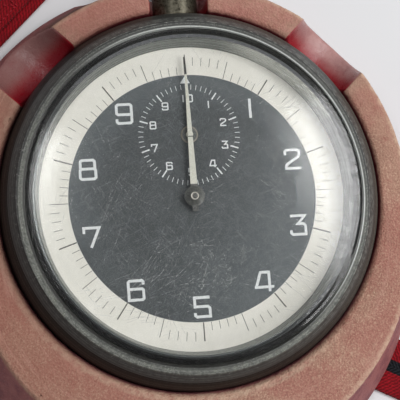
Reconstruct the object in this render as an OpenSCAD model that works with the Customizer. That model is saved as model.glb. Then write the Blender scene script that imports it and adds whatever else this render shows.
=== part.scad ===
// Mechanical stopwatch, tenths of a second, in a moulded rubber protective case with a neck ribbon.
// The watch lies on its back: the dial faces +Z, 12 o'clock is +Y, and the origin is the middle of
// the rubber case's flat back, under the dial's centre. All sizes are in millimetres.

/* [Dial] */
// Diameter of the dial plate
dial_d = 53.2; // [52:0.2:53.4]
// Thickness of the dial plate
dial_t = 0.4; // [0.3:0.05:0.5]
// Distance from the dial's centre to the minute register's centre
register_offset = 10.6; // [10.4:0.1:10.8]
// Length of the sweep hand, from its centre to its tip
sweep_hand_len = 24.2; // [20:0.2:25]
// Length of the register hand
register_hand_len = 6.4; // [5:0.2:7.2]

/* [Watch case] */
// Distance from the crystal's edge to the inside of the case band
band_step = 0.9; // [0.8:0.05:1]
// Wall of the case band
case_wall = 3.4; // [3:0.1:3.6]
// Thickness of the case back
back_t = 0.8; // [0.6:0.1:0.9]
// Gap between the crystal and the bezel's flat top
bezel_gap = 0.4; // [0.35:0.05:0.5]
// Width of the bezel's flat top
bezel_land = 1.05; // [0.8:0.05:1.2]
// Height of the bezel's top above the dial
bezel_rise = 3.95; // [3.6:0.05:4.2]
// Width of the ledge between the dial's edge and the crystal
dial_ledge = 0.3; // [0.25:0.05:0.4]
// Wall of the crystal
crystal_wall = 1.0; // [0.8:0.1:1.1]
// Height of the crystal's shoulder above the dial
crystal_rise = 5.3; // [5:0.1:6]
// Rise of the crystal's dome above its shoulder
dome_rise = 1.2; // [0.8:0.1:2]

/* [Pendant, crown and bow] */
// Outer diameter of the pendant tube
pendant_d = 7.9; // [7.4:0.1:8.2]
// Length of the pendant beyond the rubber case
pendant_reach = 4.2; // [4:0.1:5.2]
// Diameter of the crown
crown_d = 11.6; // [10.8:0.2:11.8]
// Height of the crown
crown_h = 6.4; // [5.6:0.2:7]
// Number of grooves round the crown
crown_grooves = 30; // [24:2:36]
// Travel of the crown when it is pressed
press_travel = 1.5; // [1.2:0.1:1.6]
// Diameter of the bow's wire
bow_wire_d = 2.4; // [2:0.1:2.6]
// Inner width of the bow
bow_in_w = 15; // [14.6:0.2:17]
// Length of the bow, from its pivots to the outside of its top
bow_len = 21.5; // [21:0.5:24]

/* [Rubber case] */
// Thickness of the rubber floor under the watch
rubber_floor = 2.2; // [2:0.1:2.6]
// Height of the rubber rim
rim_h = 12.4; // [11.6:0.1:12.8]
// Width of the rubber rim round the case band
rim_w = 5.3; // [4.8:0.1:5.8]
// Spread of the side wall from the rim's outer edge to its foot
side_spread = 4.5; // [4:0.1:4.8]
// Distance that the rim's outline runs on below the dial's centre
tail = 6; // [4:0.5:8]
// Distance that the foot's outline runs on below the rim's
foot_tail = 3.7; // [2.7:0.1:4.7]
// Radius of the two scooped notches in the rim
notch_r = 6.65; // [6:0.05:7]
// Angle of each notch from 12 o'clock
notch_angle = 46.3; // [44:0.1:48]
// Depth of the ribbon's channel under the case
channel_h = 1.6; // [1.4:0.1:1.8]

/* [Ribbon] */
// Width of the neck ribbon
ribbon_w = 10; // [9:0.5:11]
// Thickness of the neck ribbon
ribbon_t = 0.8; // [0.6:0.1:0.8]

/* [Movement] */
// Diameter of the main plate
plate_d = 43; // [42.6:0.1:43.6]
// Thickness of the main plate
plate_t = 1.4; // [1.2:0.1:1.5]
// Thickness of the bridges
bridge_t = 1; // [0.8:0.1:1.1]
// Height of the going barrel
barrel_h = 2.2; // [2:0.1:2.3]
// Module of the barrel's teeth
barrel_module = 0.2; // [0.198:0.001:0.202]
// Module of the centre wheel's teeth
centre_module = 0.15; // [0.148:0.001:0.152]
// Module of the third wheel's teeth
third_module = 0.11; // [0.109:0.001:0.111]
// Module of the sweep wheel's teeth
sweep_module = 0.12; // [0.118:0.001:0.122]
// Module of the winding wheels' teeth
winding_module = 0.2167; // [0.214:0.0001:0.219]
// Radius of the escape wheel's tooth tips
escape_r = 2.6; // [2.5:0.05:2.7]
// Outer radius of the balance rim
balance_r = 5.5; // [5.2:0.1:5.6]

/* [Hidden] */

// Colours
steel = "silver";
brass = "goldenrod";
nickel = "gainsboro";
gunmetal = [0.16, 0.15, 0.15];
rubber = [0.68, 0.36, 0.33];
ribbon_red = [0.62, 0.06, 0.09];
ruby = [0.7, 0.05, 0.2];
blued = [0.12, 0.2, 0.45];

// Clearances: a snug seat, a running fit, and the gap between things that pass each other
seat = 0.05;
run_fit = 0.03;
pass_gap = 0.15;
round_fn = 96;
hub_fn = 12;

// Heights, from the rubber case's back upwards
bezel_h = 1.75;
case_z = rubber_floor + 0.1;
back_top = case_z + back_t;
bridge_z = back_top + 0.9;
bridge_top = bridge_z + bridge_t;
winding_z = bridge_top + 0.1;
winding_t = 0.5;
centre_z = winding_z + winding_t + 0.25;
train_t = 0.35;
barrel_z = centre_z + train_t + 0.2;
barrel_top = barrel_z + barrel_h;
plate_z = barrel_top + 0.3;
plate_top = plate_z + plate_t;
work_h = 2.3;
dial_z = plate_top + work_h;
dial_top = dial_z + dial_t;
stem_z = centre_z + 1.15;
hammer_z = plate_top + 1.45;
hammer_t = 0.4;

// Radii of the case's parts
plate_r = plate_d / 2;
dial_r = dial_d / 2;
flange_in_r = dial_r + dial_ledge;
crystal_in_r = flange_in_r;
crystal_r = crystal_in_r + crystal_wall;
bezel_in_r = crystal_r + bezel_gap;
bezel_r = bezel_in_r + bezel_land;
case_in_r = crystal_r + band_step;
case_r = case_in_r + case_wall;
rim_r = case_r + rim_w;
shoulder_z = dial_top - 1;
bezel_top = dial_top + bezel_rise;
bezel_z = bezel_top - bezel_h;

// ---- Gear geometry: pitch radii, centre distances and meshing phases ----
function pitch_r(n, m) = n * m / 2;
function at_angle(p, d, a) = p + d * [cos(a), sin(a)];
function angle_to(p, q) = atan2(q[1] - p[1], q[0] - p[0]);
// The point at distance a from p and b from q, on the left of the line from p to q if side is 1
function third_point(p, q, a, b, side) =
    let (d = norm(q - p), along = (a * a - b * b + d * d) / (2 * d), h = sqrt(a * a - along * along))
    p + along * (q - p) / d + side * h * [-(q - p)[1], (q - p)[0]] / d;
// The phase that puts a gap of gear 2 on the line where gear 1 has a tooth, or the like
function mesh_phase(phase1, n1, line, n2) =
    line + 180 - (0.5 - (line - phase1) * n1 / 360) * 360 / n2;

// Tooth counts: the barrel turns once in 6000 s, the sweep hand once in 10 s
barrel_n = 80;
centre_pinion_n = 10;
centre_n = 80;
third_pinion_n = 8;
third_n = 75;
sweep_pinion_n = 10;
sweep_n = 60;
escape_pinion_n = 18;
escape_n = 15;
// The register hand turns once for 60 turns of the sweep hand
drive_pinion_n = 8;
intermediate_n = 64;
intermediate_pinion_n = 8;
register_n = 60;
drive_module = 0.14;
register_module = 0.17;
// Winding: stem pinion, crown wheel and ratchet wheel
stem_pinion_n = 12;
crown_wheel_n = 36;
ratchet_n = 54;
// Column wheel: three steps of its ratchet for each column
columns = 6;
column_ratchet_n = 18;

// Places in plan
sweep_at = [0, 0];
register_at = [0, register_offset];
crown_wheel_at = [0, 9];
barrel_at = at_angle(crown_wheel_at, pitch_r(crown_wheel_n + ratchet_n, winding_module), -19.2);
centre_at = at_angle(barrel_at, pitch_r(barrel_n + centre_pinion_n, barrel_module), -90);
third_at = third_point(sweep_at, centre_at, pitch_r(third_n + sweep_pinion_n, third_module),
    pitch_r(centre_n + third_pinion_n, centre_module), -1);
escape_at = at_angle(sweep_at, pitch_r(sweep_n + escape_pinion_n, sweep_module), 200);
lever_line = 205;
pallet_gap = 0.65;
pallet_at = at_angle(escape_at, escape_r + pallet_gap, lever_line);
lever_len = 3.3;
roller_r = 0.9;
balance_at = at_angle(pallet_at, lever_len + roller_r, lever_line);
intermediate_at = third_point(sweep_at, register_at,
    pitch_r(drive_pinion_n + intermediate_n, drive_module),
    pitch_r(intermediate_pinion_n + register_n, register_module), -1);
hammer_at = [-4.2, 15.4];
column_at = [-10.5, 13.3];
brake_at = [-16, 6.5];
brake_pin_at = at_angle(balance_at, balance_r + 0.9, 150);

// Meshing phases, worked out from the sweep wheel outwards
third_phase = mesh_phase(0, sweep_pinion_n, angle_to(sweep_at, third_at), third_n);
centre_phase = mesh_phase(third_phase, third_pinion_n, angle_to(third_at, centre_at), centre_n);
barrel_phase = mesh_phase(centre_phase, centre_pinion_n, angle_to(centre_at, barrel_at), barrel_n);
escape_phase = mesh_phase(0, sweep_n, angle_to(sweep_at, escape_at), escape_pinion_n);
intermediate_phase = mesh_phase(0, drive_pinion_n, angle_to(sweep_at, intermediate_at),
    intermediate_n);
register_phase = mesh_phase(intermediate_phase, intermediate_pinion_n,
    angle_to(intermediate_at, register_at), register_n);
// The crown wheel has a gap under the stem, where the stem pinion has a tooth
crown_wheel_phase = 90 + 180 / crown_wheel_n;
ratchet_phase = mesh_phase(crown_wheel_phase, crown_wheel_n, angle_to(crown_wheel_at, barrel_at),
    ratchet_n);

// One tooth's outline, as points from root to root round its middle angle
function tooth_points(n, m, add, ded, thick, middle) =
    let (r = pitch_r(n, m), half = 90 * thick / n, root = half * 1.28, tip = half * 0.42)
    [for (p = [[r - ded * m, -root], [r, -half], [r + add * m * 0.72, -half * 0.72],
            [r + add * m, -tip], [r + add * m, tip], [r + add * m * 0.72, half * 0.72],
            [r, half], [r - ded * m, root]])
        p[0] * [cos(middle + p[1]), sin(middle + p[1])]];

module gear_outline(n, m, phase, add, ded, thick) {
    polygon([for (i = [0:n - 1]) each tooth_points(n, m, add, ded, thick, phase + i * 360 / n)]);
}

// A flat-sided hole that a round arbor of radius r passes through
module arbor_hole(r) {
    circle(r = (r + 0.012) / cos(180 / hub_fn), $fn = hub_fn);
}

// A spoked train wheel
module train_wheel(n, m, phase, z, t, arbor_r, spokes) {
    rim_in = pitch_r(n, m) - 1.3 * m - 0.32;
    hub_r = arbor_r + 0.45;
    translate([0, 0, z])
        linear_extrude(height = t)
            difference() {
                gear_outline(n, m, phase, 0.95, 1.25, 0.92);
                arbor_hole(arbor_r);
                for (i = [0:spokes - 1]) rotate(phase + i * 360 / spokes)
                    polygon([for (a = [0:6]) rim_in * [cos(window(a, spokes, 0.35, rim_in)),
                            sin(window(a, spokes, 0.35, rim_in))],
                        for (a = [6:-1:0]) (hub_r + 0.12) * [cos(window(a, spokes, 0.35, hub_r)),
                            sin(window(a, spokes, 0.35, hub_r))]]);
            }
}

// Angle of point i of 0 to 6 across the window between two spokes of width w, at radius r
function window(i, spokes, w, r) =
    let (edge = asin(min(0.9, w / 2 / r)), span = 360 / spokes - 2 * edge) edge + span * i / 6;

// A leaf pinion cut from solid
module leaf_pinion(n, m, phase, z, h, arbor_r) {
    translate([0, 0, z])
        linear_extrude(height = h)
            difference() {
                gear_outline(n, m, phase, 0.7, 1.35, 0.74);
                arbor_hole(arbor_r);
            }
}

// A round arbor with a fine pivot at each end
module arbor(r, z0, z1, pivot_r, low_z, high_z) {
    translate([0, 0, z0]) cylinder(r = r, h = z1 - z0, $fn = round_fn / 2);
    translate([0, 0, low_z]) cylinder(r = pivot_r, h = high_z - low_z, $fn = round_fn / 2);
}

train_arbor_r = 0.3;
work_arbor_r = 0.25;
pivot_r = 0.18;
jewel_r = 0.75;
jewel_t = 0.55;

// ---- Rubber case ----
rubber_hole_r = case_r + 0.15;
foot_r = rim_r + side_spread;
foot_back = 2.6;

// A rim and a wider foot, each of them two circles, one behind the other, and a sloping wall between
module rubber_block() {
    hull() {
        for (y = [0, tail]) translate([0, -y, rim_h - 0.6])
            cylinder(r = rim_r, h = 0.6, $fn = round_fn * 2);
        for (y = [foot_back, tail + foot_tail]) translate([0, -y, 0]) {
            cylinder(r1 = foot_r - 1.3, r2 = foot_r, h = 1.8, $fn = round_fn * 2);
            translate([0, 0, 1.8]) cylinder(r = foot_r, h = 1.2, $fn = round_fn * 2);
        }
    }
}

// A radial scoop, round below, that leaves the rim open above
module rim_scoop(angle, r, z, from_r) {
    rotate(-angle) translate([0, from_r, z]) {
        rotate([-90, 0, 0]) cylinder(r = r, h = rim_r, $fn = round_fn);
        translate([-r, 0, 0]) cube([2 * r, rim_r, rim_h]);
    }
}

slot_r = pendant_d / 2 + 0.95;
crown_pocket_w = 14;
channel_w = ribbon_w + 2;

module rubber_case() {
    color(rubber) difference() {
        rubber_block();
        translate([0, 0, rubber_floor]) cylinder(r = rubber_hole_r, h = rim_h, $fn = round_fn * 2);
        for (side = [-1, 1]) rim_scoop(side * notch_angle, notch_r, rim_h + 0.3, case_r - 4);
        rim_scoop(0, slot_r, stem_z, case_r - 4);
        translate([-crown_pocket_w / 2, rim_r - 2.5, rubber_floor])
            cube([crown_pocket_w, 10, rim_h]);
        translate([-crown_pocket_w / 2, rim_r + 0.3, -1]) cube([crown_pocket_w, 10, rim_h + 2]);
        ribbon_channel();
    }
}

// The neck ribbon's channel in the back: from the crown down the right side, a bend, then out
channel_turn = [35, -6];
channel_turn_r = 22;
channel_end_angle = 241.9;

module ribbon_channel() {
    low = 1 + channel_h;
    turn_in = channel_turn_r - channel_w / 2;
    left = channel_turn[0] - channel_turn_r - channel_w / 2;
    right = channel_turn[0] - turn_in;
    translate([0, 0, -1]) linear_extrude(height = low) polygon([[-6.5, 60], [9, 60], [9.5, 40],
        [15, 30], [right, 18], [right, channel_turn[1]], [left, channel_turn[1]], [left, 10],
        [left - 2.5, 20], [-2, 32], [-6.5, 40]]);
    translate([channel_turn[0], channel_turn[1], -1]) {
        rotate([0, 0, 180]) rotate_extrude(angle = channel_end_angle - 180, $fn = round_fn)
            translate([turn_in, 0]) square([channel_w, low]);
        rotate(channel_end_angle) translate([turn_in - 0.1, -0.3, 0]) cube([channel_w + 0.2, 40, low]);
    }
}

rubber_case();

// ---- Watch case ----
// The shoulder's outline from the band's top to the bezel's outer edge, t from 0 to 1
function shoulder_point(t) = [case_r + (bezel_r - case_r) * t + 0.45 * sin(180 * t),
    shoulder_z + (bezel_top - shoulder_z) * t];
bezel_t = (bezel_z - shoulder_z) / (bezel_top - shoulder_z);
back_rim_r = case_r - 0.95;
flange_z = dial_z + 0.1;
flange_top = dial_top + 0.3;
spigot_r = pendant_d / 2 - 0.75;

module case_band() {
    color(gunmetal) difference() {
        rotate_extrude($fn = round_fn * 2) polygon([[case_in_r, back_top + seat],
            [back_rim_r + seat, back_top + seat], [back_rim_r + seat, case_z], [case_r - 0.4, case_z],
            [case_r, case_z + 0.4],
            for (i = [0:6]) shoulder_point(i / 6 * bezel_t),
            [crystal_r + seat, bezel_z], [crystal_r + seat, flange_top], [flange_in_r, flange_top],
            [flange_in_r, flange_z], [case_in_r, flange_z]]);
        translate([0, case_in_r - 2, stem_z]) rotate([-90, 0, 0])
            cylinder(r = spigot_r + 0.02, h = case_wall + 4, $fn = round_fn);
    }
}

module case_back() {
    color(nickel) {
        translate([0, 0, case_z]) cylinder(r = back_rim_r, h = back_t, $fn = round_fn * 2);
        difference() {
            translate([0, 0, case_z]) cylinder(r = case_in_r - 0.03, h = back_t + 0.8, $fn = round_fn * 2);
            translate([0, 0, back_top]) cylinder(r = case_in_r - 1.2, h = 2, $fn = round_fn * 2);
        }
    }
}

module bezel() {
    color(gunmetal) rotate_extrude($fn = round_fn * 2) polygon([[crystal_r + seat, bezel_z + 0.03],
        for (i = [0:4]) shoulder_point(bezel_t + (1 - bezel_t) * i / 4) + [0, i == 0 ? 0.03 : 0],
        [bezel_in_r, bezel_top], [bezel_in_r, bezel_top - 0.7], [crystal_r + seat, bezel_top - 0.9]]);
}

crystal_z = flange_top + seat;
crystal_shoulder_z = dial_top + crystal_rise;
dome_r = crystal_r - 0.65;

module crystal() {
    color([0.85, 0.9, 0.92, 0.35]) rotate_extrude($fn = round_fn * 2) polygon([
        [crystal_in_r, crystal_z], [crystal_r, crystal_z], [crystal_r, crystal_shoulder_z - 0.65],
        [crystal_r - 0.2, crystal_shoulder_z - 0.2],
        for (i = [0:8]) [dome_r * (1 - i / 8), crystal_shoulder_z + dome_rise * (1 - pow(1 - i / 8, 2))],
        for (i = [0:8]) [(dome_r - crystal_wall) * i / 8,
            crystal_shoulder_z - crystal_wall + dome_rise * (1 - pow(i / 8, 2))],
        [crystal_in_r, crystal_shoulder_z - crystal_wall - 0.5]]);
}

module tension_ring() {
    low = dial_top + seat;
    top = crystal_shoulder_z - crystal_wall - 0.7;
    color(steel) rotate_extrude($fn = round_fn * 2) polygon([[dial_r - 0.9, low], [dial_r, low],
        [crystal_in_r - seat, crystal_z], [crystal_in_r - seat, top], [crystal_in_r - 0.25, top]]);
}

case_band();
case_back();
bezel();
crystal();
tension_ring();

// ---- Pendant, crown, bow, stem and push sleeve: their shared axis runs along +Y at the stem's height ----
pendant_top = foot_r - foot_back + pendant_reach;
pivot_y = pendant_top - 2.9;
sleeve_r = 1.7;
sleeve_y = 20.55;
spring_seat_y = case_r - 0.4;
spring_bore_r = 2.9;
crown_y = pendant_top + 0.4;
crown_hollow = press_travel + 0.5;
stem_r = 0.75;
square_side = 1;
// The stem's square reaches through the pinion's hub in every position of the press
square_end_y = 18.5;

// Turns a shape that stands on +Z so that it lies along +Y at distance y on the stem's axis
module on_stem(y) {
    translate([0, y, stem_z]) rotate([-90, 0, 0]) children();
}

module pendant() {
    color(gunmetal) difference() {
        union() {
            on_stem(case_in_r + 0.3) cylinder(r = spigot_r, h = 6, $fn = round_fn);
            difference() {
                on_stem(case_r - 3) cylinder(r = pendant_d / 2, h = pendant_top - case_r + 3, $fn = round_fn);
                cylinder(r = case_r + 0.03, h = 30, $fn = round_fn * 2);
            }
        }
        on_stem(case_in_r - 1) cylinder(r = sleeve_r + run_fit, h = 20, $fn = round_fn);
        on_stem(spring_seat_y) cylinder(r = spring_bore_r, h = 20, $fn = round_fn);
        for (side = [-1, 1]) translate([0, pivot_y, stem_z]) rotate([0, side * 90, 0])
            cylinder(r = bow_pin_r + seat, h = 6, $fn = round_fn);
    }
}

bow_pin_r = 0.8;
bow_wire_r = bow_wire_d / 2;
bow_half = bow_in_w / 2 + bow_wire_r;
bow_elbow_r = 1.4;
bow_top_y = pivot_y + bow_len - bow_wire_r;
bow_arc_y = bow_top_y - bow_half;

module bow() {
    color(nickel) translate([0, 0, stem_z]) {
        translate([0, bow_arc_y, 0]) rotate_extrude(angle = 180, $fn = round_fn)
            translate([bow_half, 0]) circle(r = bow_wire_r, $fn = round_fn / 2);
        for (side = [-1, 1]) scale([side, 1, 1]) {
            translate([bow_half, pivot_y + bow_elbow_r, 0]) rotate([-90, 0, 0])
                cylinder(r = bow_wire_r, h = bow_arc_y - pivot_y - bow_elbow_r,
                    $fn = round_fn / 2);
            translate([bow_half - bow_elbow_r, pivot_y + bow_elbow_r, 0]) rotate(-90)
                rotate_extrude(angle = 90, $fn = round_fn)
                    translate([bow_elbow_r, 0]) circle(r = bow_wire_r, $fn = round_fn / 2);
            translate([pendant_d / 2 + 0.2, pivot_y, 0]) rotate([0, 90, 0])
                cylinder(r = bow_wire_r, h = bow_half - bow_elbow_r - pendant_d / 2 - 0.2,
                    $fn = round_fn / 2);
            translate([spring_bore_r + 0.25, pivot_y, 0]) rotate([0, 90, 0])
                cylinder(r = bow_pin_r, h = 3, $fn = round_fn / 2);
        }
    }
}

module crown() {
    color(nickel) on_stem(crown_y) difference() {
        rotate_extrude($fn = round_fn) polygon([[0, 0.1], [crown_d / 2 - 0.6, 0.1], [crown_d / 2, 0.7],
            [crown_d / 2, crown_h - 1], [crown_d / 2 - 1.1, crown_h - 0.2], [crown_d / 2 - 2.6, crown_h],
            [0, crown_h]]);
        translate([0, 0, -1]) cylinder(r = pendant_d / 2 + 0.2, h = 1 + crown_hollow, $fn = round_fn);
        cylinder(r = stem_r + 0.03, h = crown_h - 1, $fn = round_fn / 2);
        for (i = [0:crown_grooves - 1]) rotate(i * 360 / crown_grooves)
            translate([crown_d / 2 + 0.08, 0, 1]) cylinder(r = 0.32, h = crown_h - 2.2, $fn = 6);
    }
}

module winding_stem() {
    color(steel) {
        on_stem(square_end_y) cylinder(r = stem_r, h = crown_y + crown_h - 1.2 - square_end_y,
            $fn = round_fn / 2);
        translate([-square_side / 2, crown_wheel_at[1] + 2.9, stem_z - square_side / 2])
            cube([square_side, square_end_y - crown_wheel_at[1] - 2.9, square_side]);
    }
}

module push_sleeve() {
    end_y = crown_y + crown_hollow - 0.12;
    color(steel) difference() {
        union() {
            on_stem(sleeve_y) cylinder(r = sleeve_r, h = end_y - sleeve_y, $fn = round_fn);
            on_stem(pendant_top - 0.9) cylinder(r = spring_bore_r - 0.1, h = 0.6, $fn = round_fn);
        }
        on_stem(sleeve_y - 1) cylinder(r = stem_r + run_fit, h = end_y, $fn = round_fn / 2);
    }
}

// The crown's return spring, coiled round the sleeve
spring_turns = 6;
spring_steps = 16;
spring_sides = 6;
spring_wire_r = 0.2;
spring_r = sleeve_r + 0.55;

module crown_spring() {
    low = spring_seat_y + spring_wire_r + 0.03;
    high = pendant_top - 0.9 - spring_wire_r - 0.03;
    count = spring_turns * spring_steps;
    color(steel) polyhedron(
        points = [for (i = [0:count]) for (j = [0:spring_sides - 1])
            let (a = 360 * i / spring_steps, b = 360 * j / spring_sides,
                r = spring_r + spring_wire_r * cos(b))
            [r * cos(a), low + (high - low) * i / count + spring_wire_r * sin(b), stem_z + r * sin(a)]],
        faces = [[for (j = [0:spring_sides - 1]) j],
            [for (j = [spring_sides - 1:-1:0]) count * spring_sides + j],
            for (i = [0:count - 1]) for (j = [0:spring_sides - 1])
                let (k = (j + 1) % spring_sides, a = i * spring_sides, b = a + spring_sides)
                each [[a + k, a + j, b + j], [a + k, b + j, b + k]]]);
}

pendant();
bow();
crown();
winding_stem();
push_sleeve();
crown_spring();

// ---- Dial and hands ----
module dial() {
    color("ivory") translate([0, 0, dial_z]) linear_extrude(height = dial_t) difference() {
        circle(r = dial_r, $fn = round_fn * 2);
        circle(r = 0.6, $fn = round_fn / 2);
        translate(register_at) circle(r = 0.5, $fn = round_fn / 2);
    }
}

hand_z = dial_top + 0.85;
hand_t = 0.2;
hand_disc_r = 1.7;

module sweep_hand() {
    color("white") {
        translate([0, 0, hand_z]) linear_extrude(height = hand_t) difference() {
            union() {
                circle(r = hand_disc_r, $fn = round_fn);
                polygon([[-0.5, -hand_disc_r - 0.8], [0.5, -hand_disc_r - 0.8], [0.5, 0], [0.58, 2],
                    [0.18, sweep_hand_len - 3.4], [0.05, sweep_hand_len], [-0.05, sweep_hand_len],
                    [-0.18, sweep_hand_len - 3.4], [-0.58, 2], [-0.5, 0]]);
            }
            circle(r = 0.5, $fn = round_fn / 2);
        }
        translate([0, 0, hand_z - 0.3]) linear_extrude(height = 0.75) difference() {
            circle(r = 0.75, $fn = round_fn / 2);
            circle(r = work_arbor_r + 0.02, $fn = round_fn / 2);
        }
    }
}

register_hand_z = dial_top + 0.15;

module register_hand() {
    color("white") translate([register_at[0], register_at[1], register_hand_z]) {
        linear_extrude(height = 0.15) difference() {
            polygon([[-0.3, -1.4], [0.3, -1.4], [0.35, 0], [0.22, register_hand_len - 1.5],
                [0.04, register_hand_len], [-0.04, register_hand_len], [-0.22, register_hand_len - 1.5],
                [-0.35, 0]]);
            circle(r = 0.4, $fn = round_fn / 2);
        }
        linear_extrude(height = 0.35) difference() {
            circle(r = 0.6, $fn = round_fn / 2);
            circle(r = work_arbor_r + 0.02, $fn = round_fn / 2);
        }
    }
}

dial();
sweep_hand();
register_hand();

// ---- Movement frame: ring, plate, bridges, screws and jewels ----
ring_r = case_in_r - 0.1;
ring_skirt_r = plate_r + 0.53 * (ring_r - plate_r);
ring_low = back_top + 1.5;
foot_in_r = plate_r - 2.1;
foot_out_r = plate_r - 0.3;
stem_slot_w = 6;
case_screw_angles = [30, 150, 270];
case_screw_at = plate_r + 1.2;
barrel_screw_angles = [18, 62];
train_screw_angles = [258, 300, 345];
left_screw_angle = 105;
cock_angle = 208.5;
bridge_screw_r = foot_in_r + 0.9;
screw_shank_r = 0.42;
pallet_line = lever_line - 90;
pallet_feet = [at_angle(pallet_at, 5.2, pallet_line), at_angle(pallet_at, 5.2, pallet_line + 180)];
pallet_bridge_z = winding_z + 0.6;
cock_t = 0.6;

module sector(r_in, r_out, from, to) {
    polygon([for (i = [0:10]) r_out * [cos(from + (to - from) * i / 10), sin(from + (to - from) * i / 10)],
        for (i = [10:-1:0]) r_in * [cos(from + (to - from) * i / 10), sin(from + (to - from) * i / 10)]]);
}

module holes_at(places, r) {
    for (p = places) translate(p) circle(r = r, $fn = round_fn / 2);
}

function polar_places(angles, r) = [for (a = angles) r * [cos(a), sin(a)]];

module movement_ring() {
    color(nickel) difference() {
        rotate_extrude($fn = round_fn * 2) polygon([[ring_skirt_r, ring_low], [ring_r, ring_low],
            [ring_r, dial_z], [plate_r + 0.1, dial_z], [plate_r + 0.1, plate_top + 0.9],
            [plate_r - 0.4, plate_top + 0.9], [plate_r - 0.4, plate_top + 0.04],
            [plate_r + 0.1, plate_top + 0.04], [plate_r + 0.1, plate_z], [ring_skirt_r, plate_z]]);
        translate([-stem_slot_w / 2, 10, 0]) cube([stem_slot_w, 30, 30]);
        for (a = case_screw_angles) rotate(a) translate([case_screw_at, 0, plate_z - 1])
            cylinder(r = screw_shank_r + 0.02, h = 3.6, $fn = round_fn / 2);
    }
}

module case_screws() {
    color(steel) for (a = case_screw_angles) rotate(a) translate([case_screw_at, 0, plate_z])
        slotted_screw(1.5, 2.5);
}

// A screw driven upwards, its head's top face at z 0
module slotted_screw(head_r, length) {
    difference() {
        translate([0, 0, -0.55]) cylinder(r = head_r, h = 0.5, $fn = round_fn / 2);
        translate([-head_r, -0.12, -0.6]) cube([2 * head_r, 0.24, 0.25]);
    }
    translate([0, 0, -0.1]) cylinder(r = screw_shank_r, h = length, $fn = round_fn / 2);
}

bearing_y = crown_wheel_at[1] + 6.2;
bearing_len = 1.6;
pinion_hub_r = 1.05;
stud_r = 0.45;
guide_studs = [[-6.1, 17.4], [0.6, 17.2]];
train_places = [sweep_at, third_at, centre_at, escape_at];
plate_jewel_places = [third_at, centre_at, escape_at, pallet_at, balance_at];

module main_plate() {
    color(brass) {
        difference() {
            translate([0, 0, plate_z]) linear_extrude(height = plate_t) difference() {
                circle(r = plate_r, $fn = round_fn * 2);
                translate([-1.9, 17.9]) square([3.8, 10]);
                holes_at(plate_jewel_places, jewel_r + 0.02);
                holes_at([sweep_at], jewel_r + 0.02);
                holes_at([register_at, intermediate_at], pivot_r + run_fit);
                holes_at([barrel_at], 0.8 + run_fit);
                holes_at(polar_places([each barrel_screw_angles, each train_screw_angles,
                    left_screw_angle, cock_angle], bridge_screw_r), screw_shank_r + 0.02);
                holes_at(pallet_feet, screw_shank_r + 0.02);
                translate(brake_pin_at) circle(r = 1.1, $fn = round_fn / 2);
            }
        }
        difference() {
            translate([-1.9, bearing_y, stem_z - 1.7]) cube([3.8, bearing_len, plate_z - stem_z + 1.75]);
            on_stem(bearing_y - 1) cylinder(r = pinion_hub_r + run_fit, h = bearing_len + 2,
                $fn = round_fn / 2);
        }
        for (p = [hammer_at, column_at, brake_at]) translate([p[0], p[1], plate_top - 0.1])
            cylinder(r = stud_r, h = hammer_z + hammer_t + 0.05 - plate_top, $fn = round_fn / 2);
        for (p = guide_studs) translate([p[0], p[1], plate_top - 0.1])
            cylinder(r = 0.4, h = 0.95, $fn = round_fn / 2);
    }
}

// A bridge cut from a disc by the polygon given, with feet up to the plate
module bridge_plate(z, t, outline, feet) {
    translate([0, 0, z]) linear_extrude(height = t) intersection() {
        circle(r = foot_out_r, $fn = round_fn * 2);
        polygon(outline);
    }
    for (f = feet) translate([0, 0, z]) linear_extrude(height = plate_z - z - 0.03)
        sector(foot_in_r, foot_out_r - 0.12, f[0], f[1]);
}

bridge_split = 1.7;

module barrel_bridge() {
    color(nickel) difference() {
        bridge_plate(bridge_z, bridge_t, [[-6.4, 22], [-6.4, bridge_split + 0.1],
            [22, bridge_split + 0.1], [22, 22]], [[8, 76], [101, 107.2]]);
        translate([0, 0, bridge_z - 1]) linear_extrude(height = 8) {
            holes_at(polar_places([each barrel_screw_angles, left_screw_angle], bridge_screw_r),
                screw_shank_r + 0.02);
            holes_at([barrel_at], 0.8 + run_fit);
            holes_at([crown_wheel_at], 0.62);
        }
    }
}

module train_bridge() {
    color(nickel) difference() {
        bridge_plate(bridge_z, bridge_t, [[-9, -22], [-9, -11.2], [-5.2, bridge_split - 0.1],
            [22, bridge_split - 0.1], [22, -22]], [[250, 355]]);
        translate([balance_at[0], balance_at[1], bridge_z - 1])
            cylinder(r = balance_r + 0.5, h = 3, $fn = round_fn);
        translate([0, 0, bridge_z - 1]) linear_extrude(height = 8) {
            holes_at(polar_places(train_screw_angles, bridge_screw_r), screw_shank_r + 0.02);
            holes_at(train_places, jewel_r + 0.02);
        }
    }
}

module pallet_bridge() {
    color(nickel) difference() {
        union() {
            translate([0, 0, pallet_bridge_z]) linear_extrude(height = 0.45) {
                for (p = pallet_feet) translate(p) circle(r = 0.9, $fn = round_fn / 2);
                translate(pallet_at) rotate(pallet_line) square([10.4, 1.3], center = true);
            }
            for (p = pallet_feet) translate([p[0], p[1], pallet_bridge_z])
                cylinder(r = 0.9, h = plate_z - pallet_bridge_z - 0.03, $fn = round_fn / 2);
        }
        translate([0, 0, pallet_bridge_z - 1]) linear_extrude(height = 9) {
            holes_at(pallet_feet, screw_shank_r + 0.02);
            holes_at([pallet_at], pivot_r + run_fit);
        }
    }
}

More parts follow.
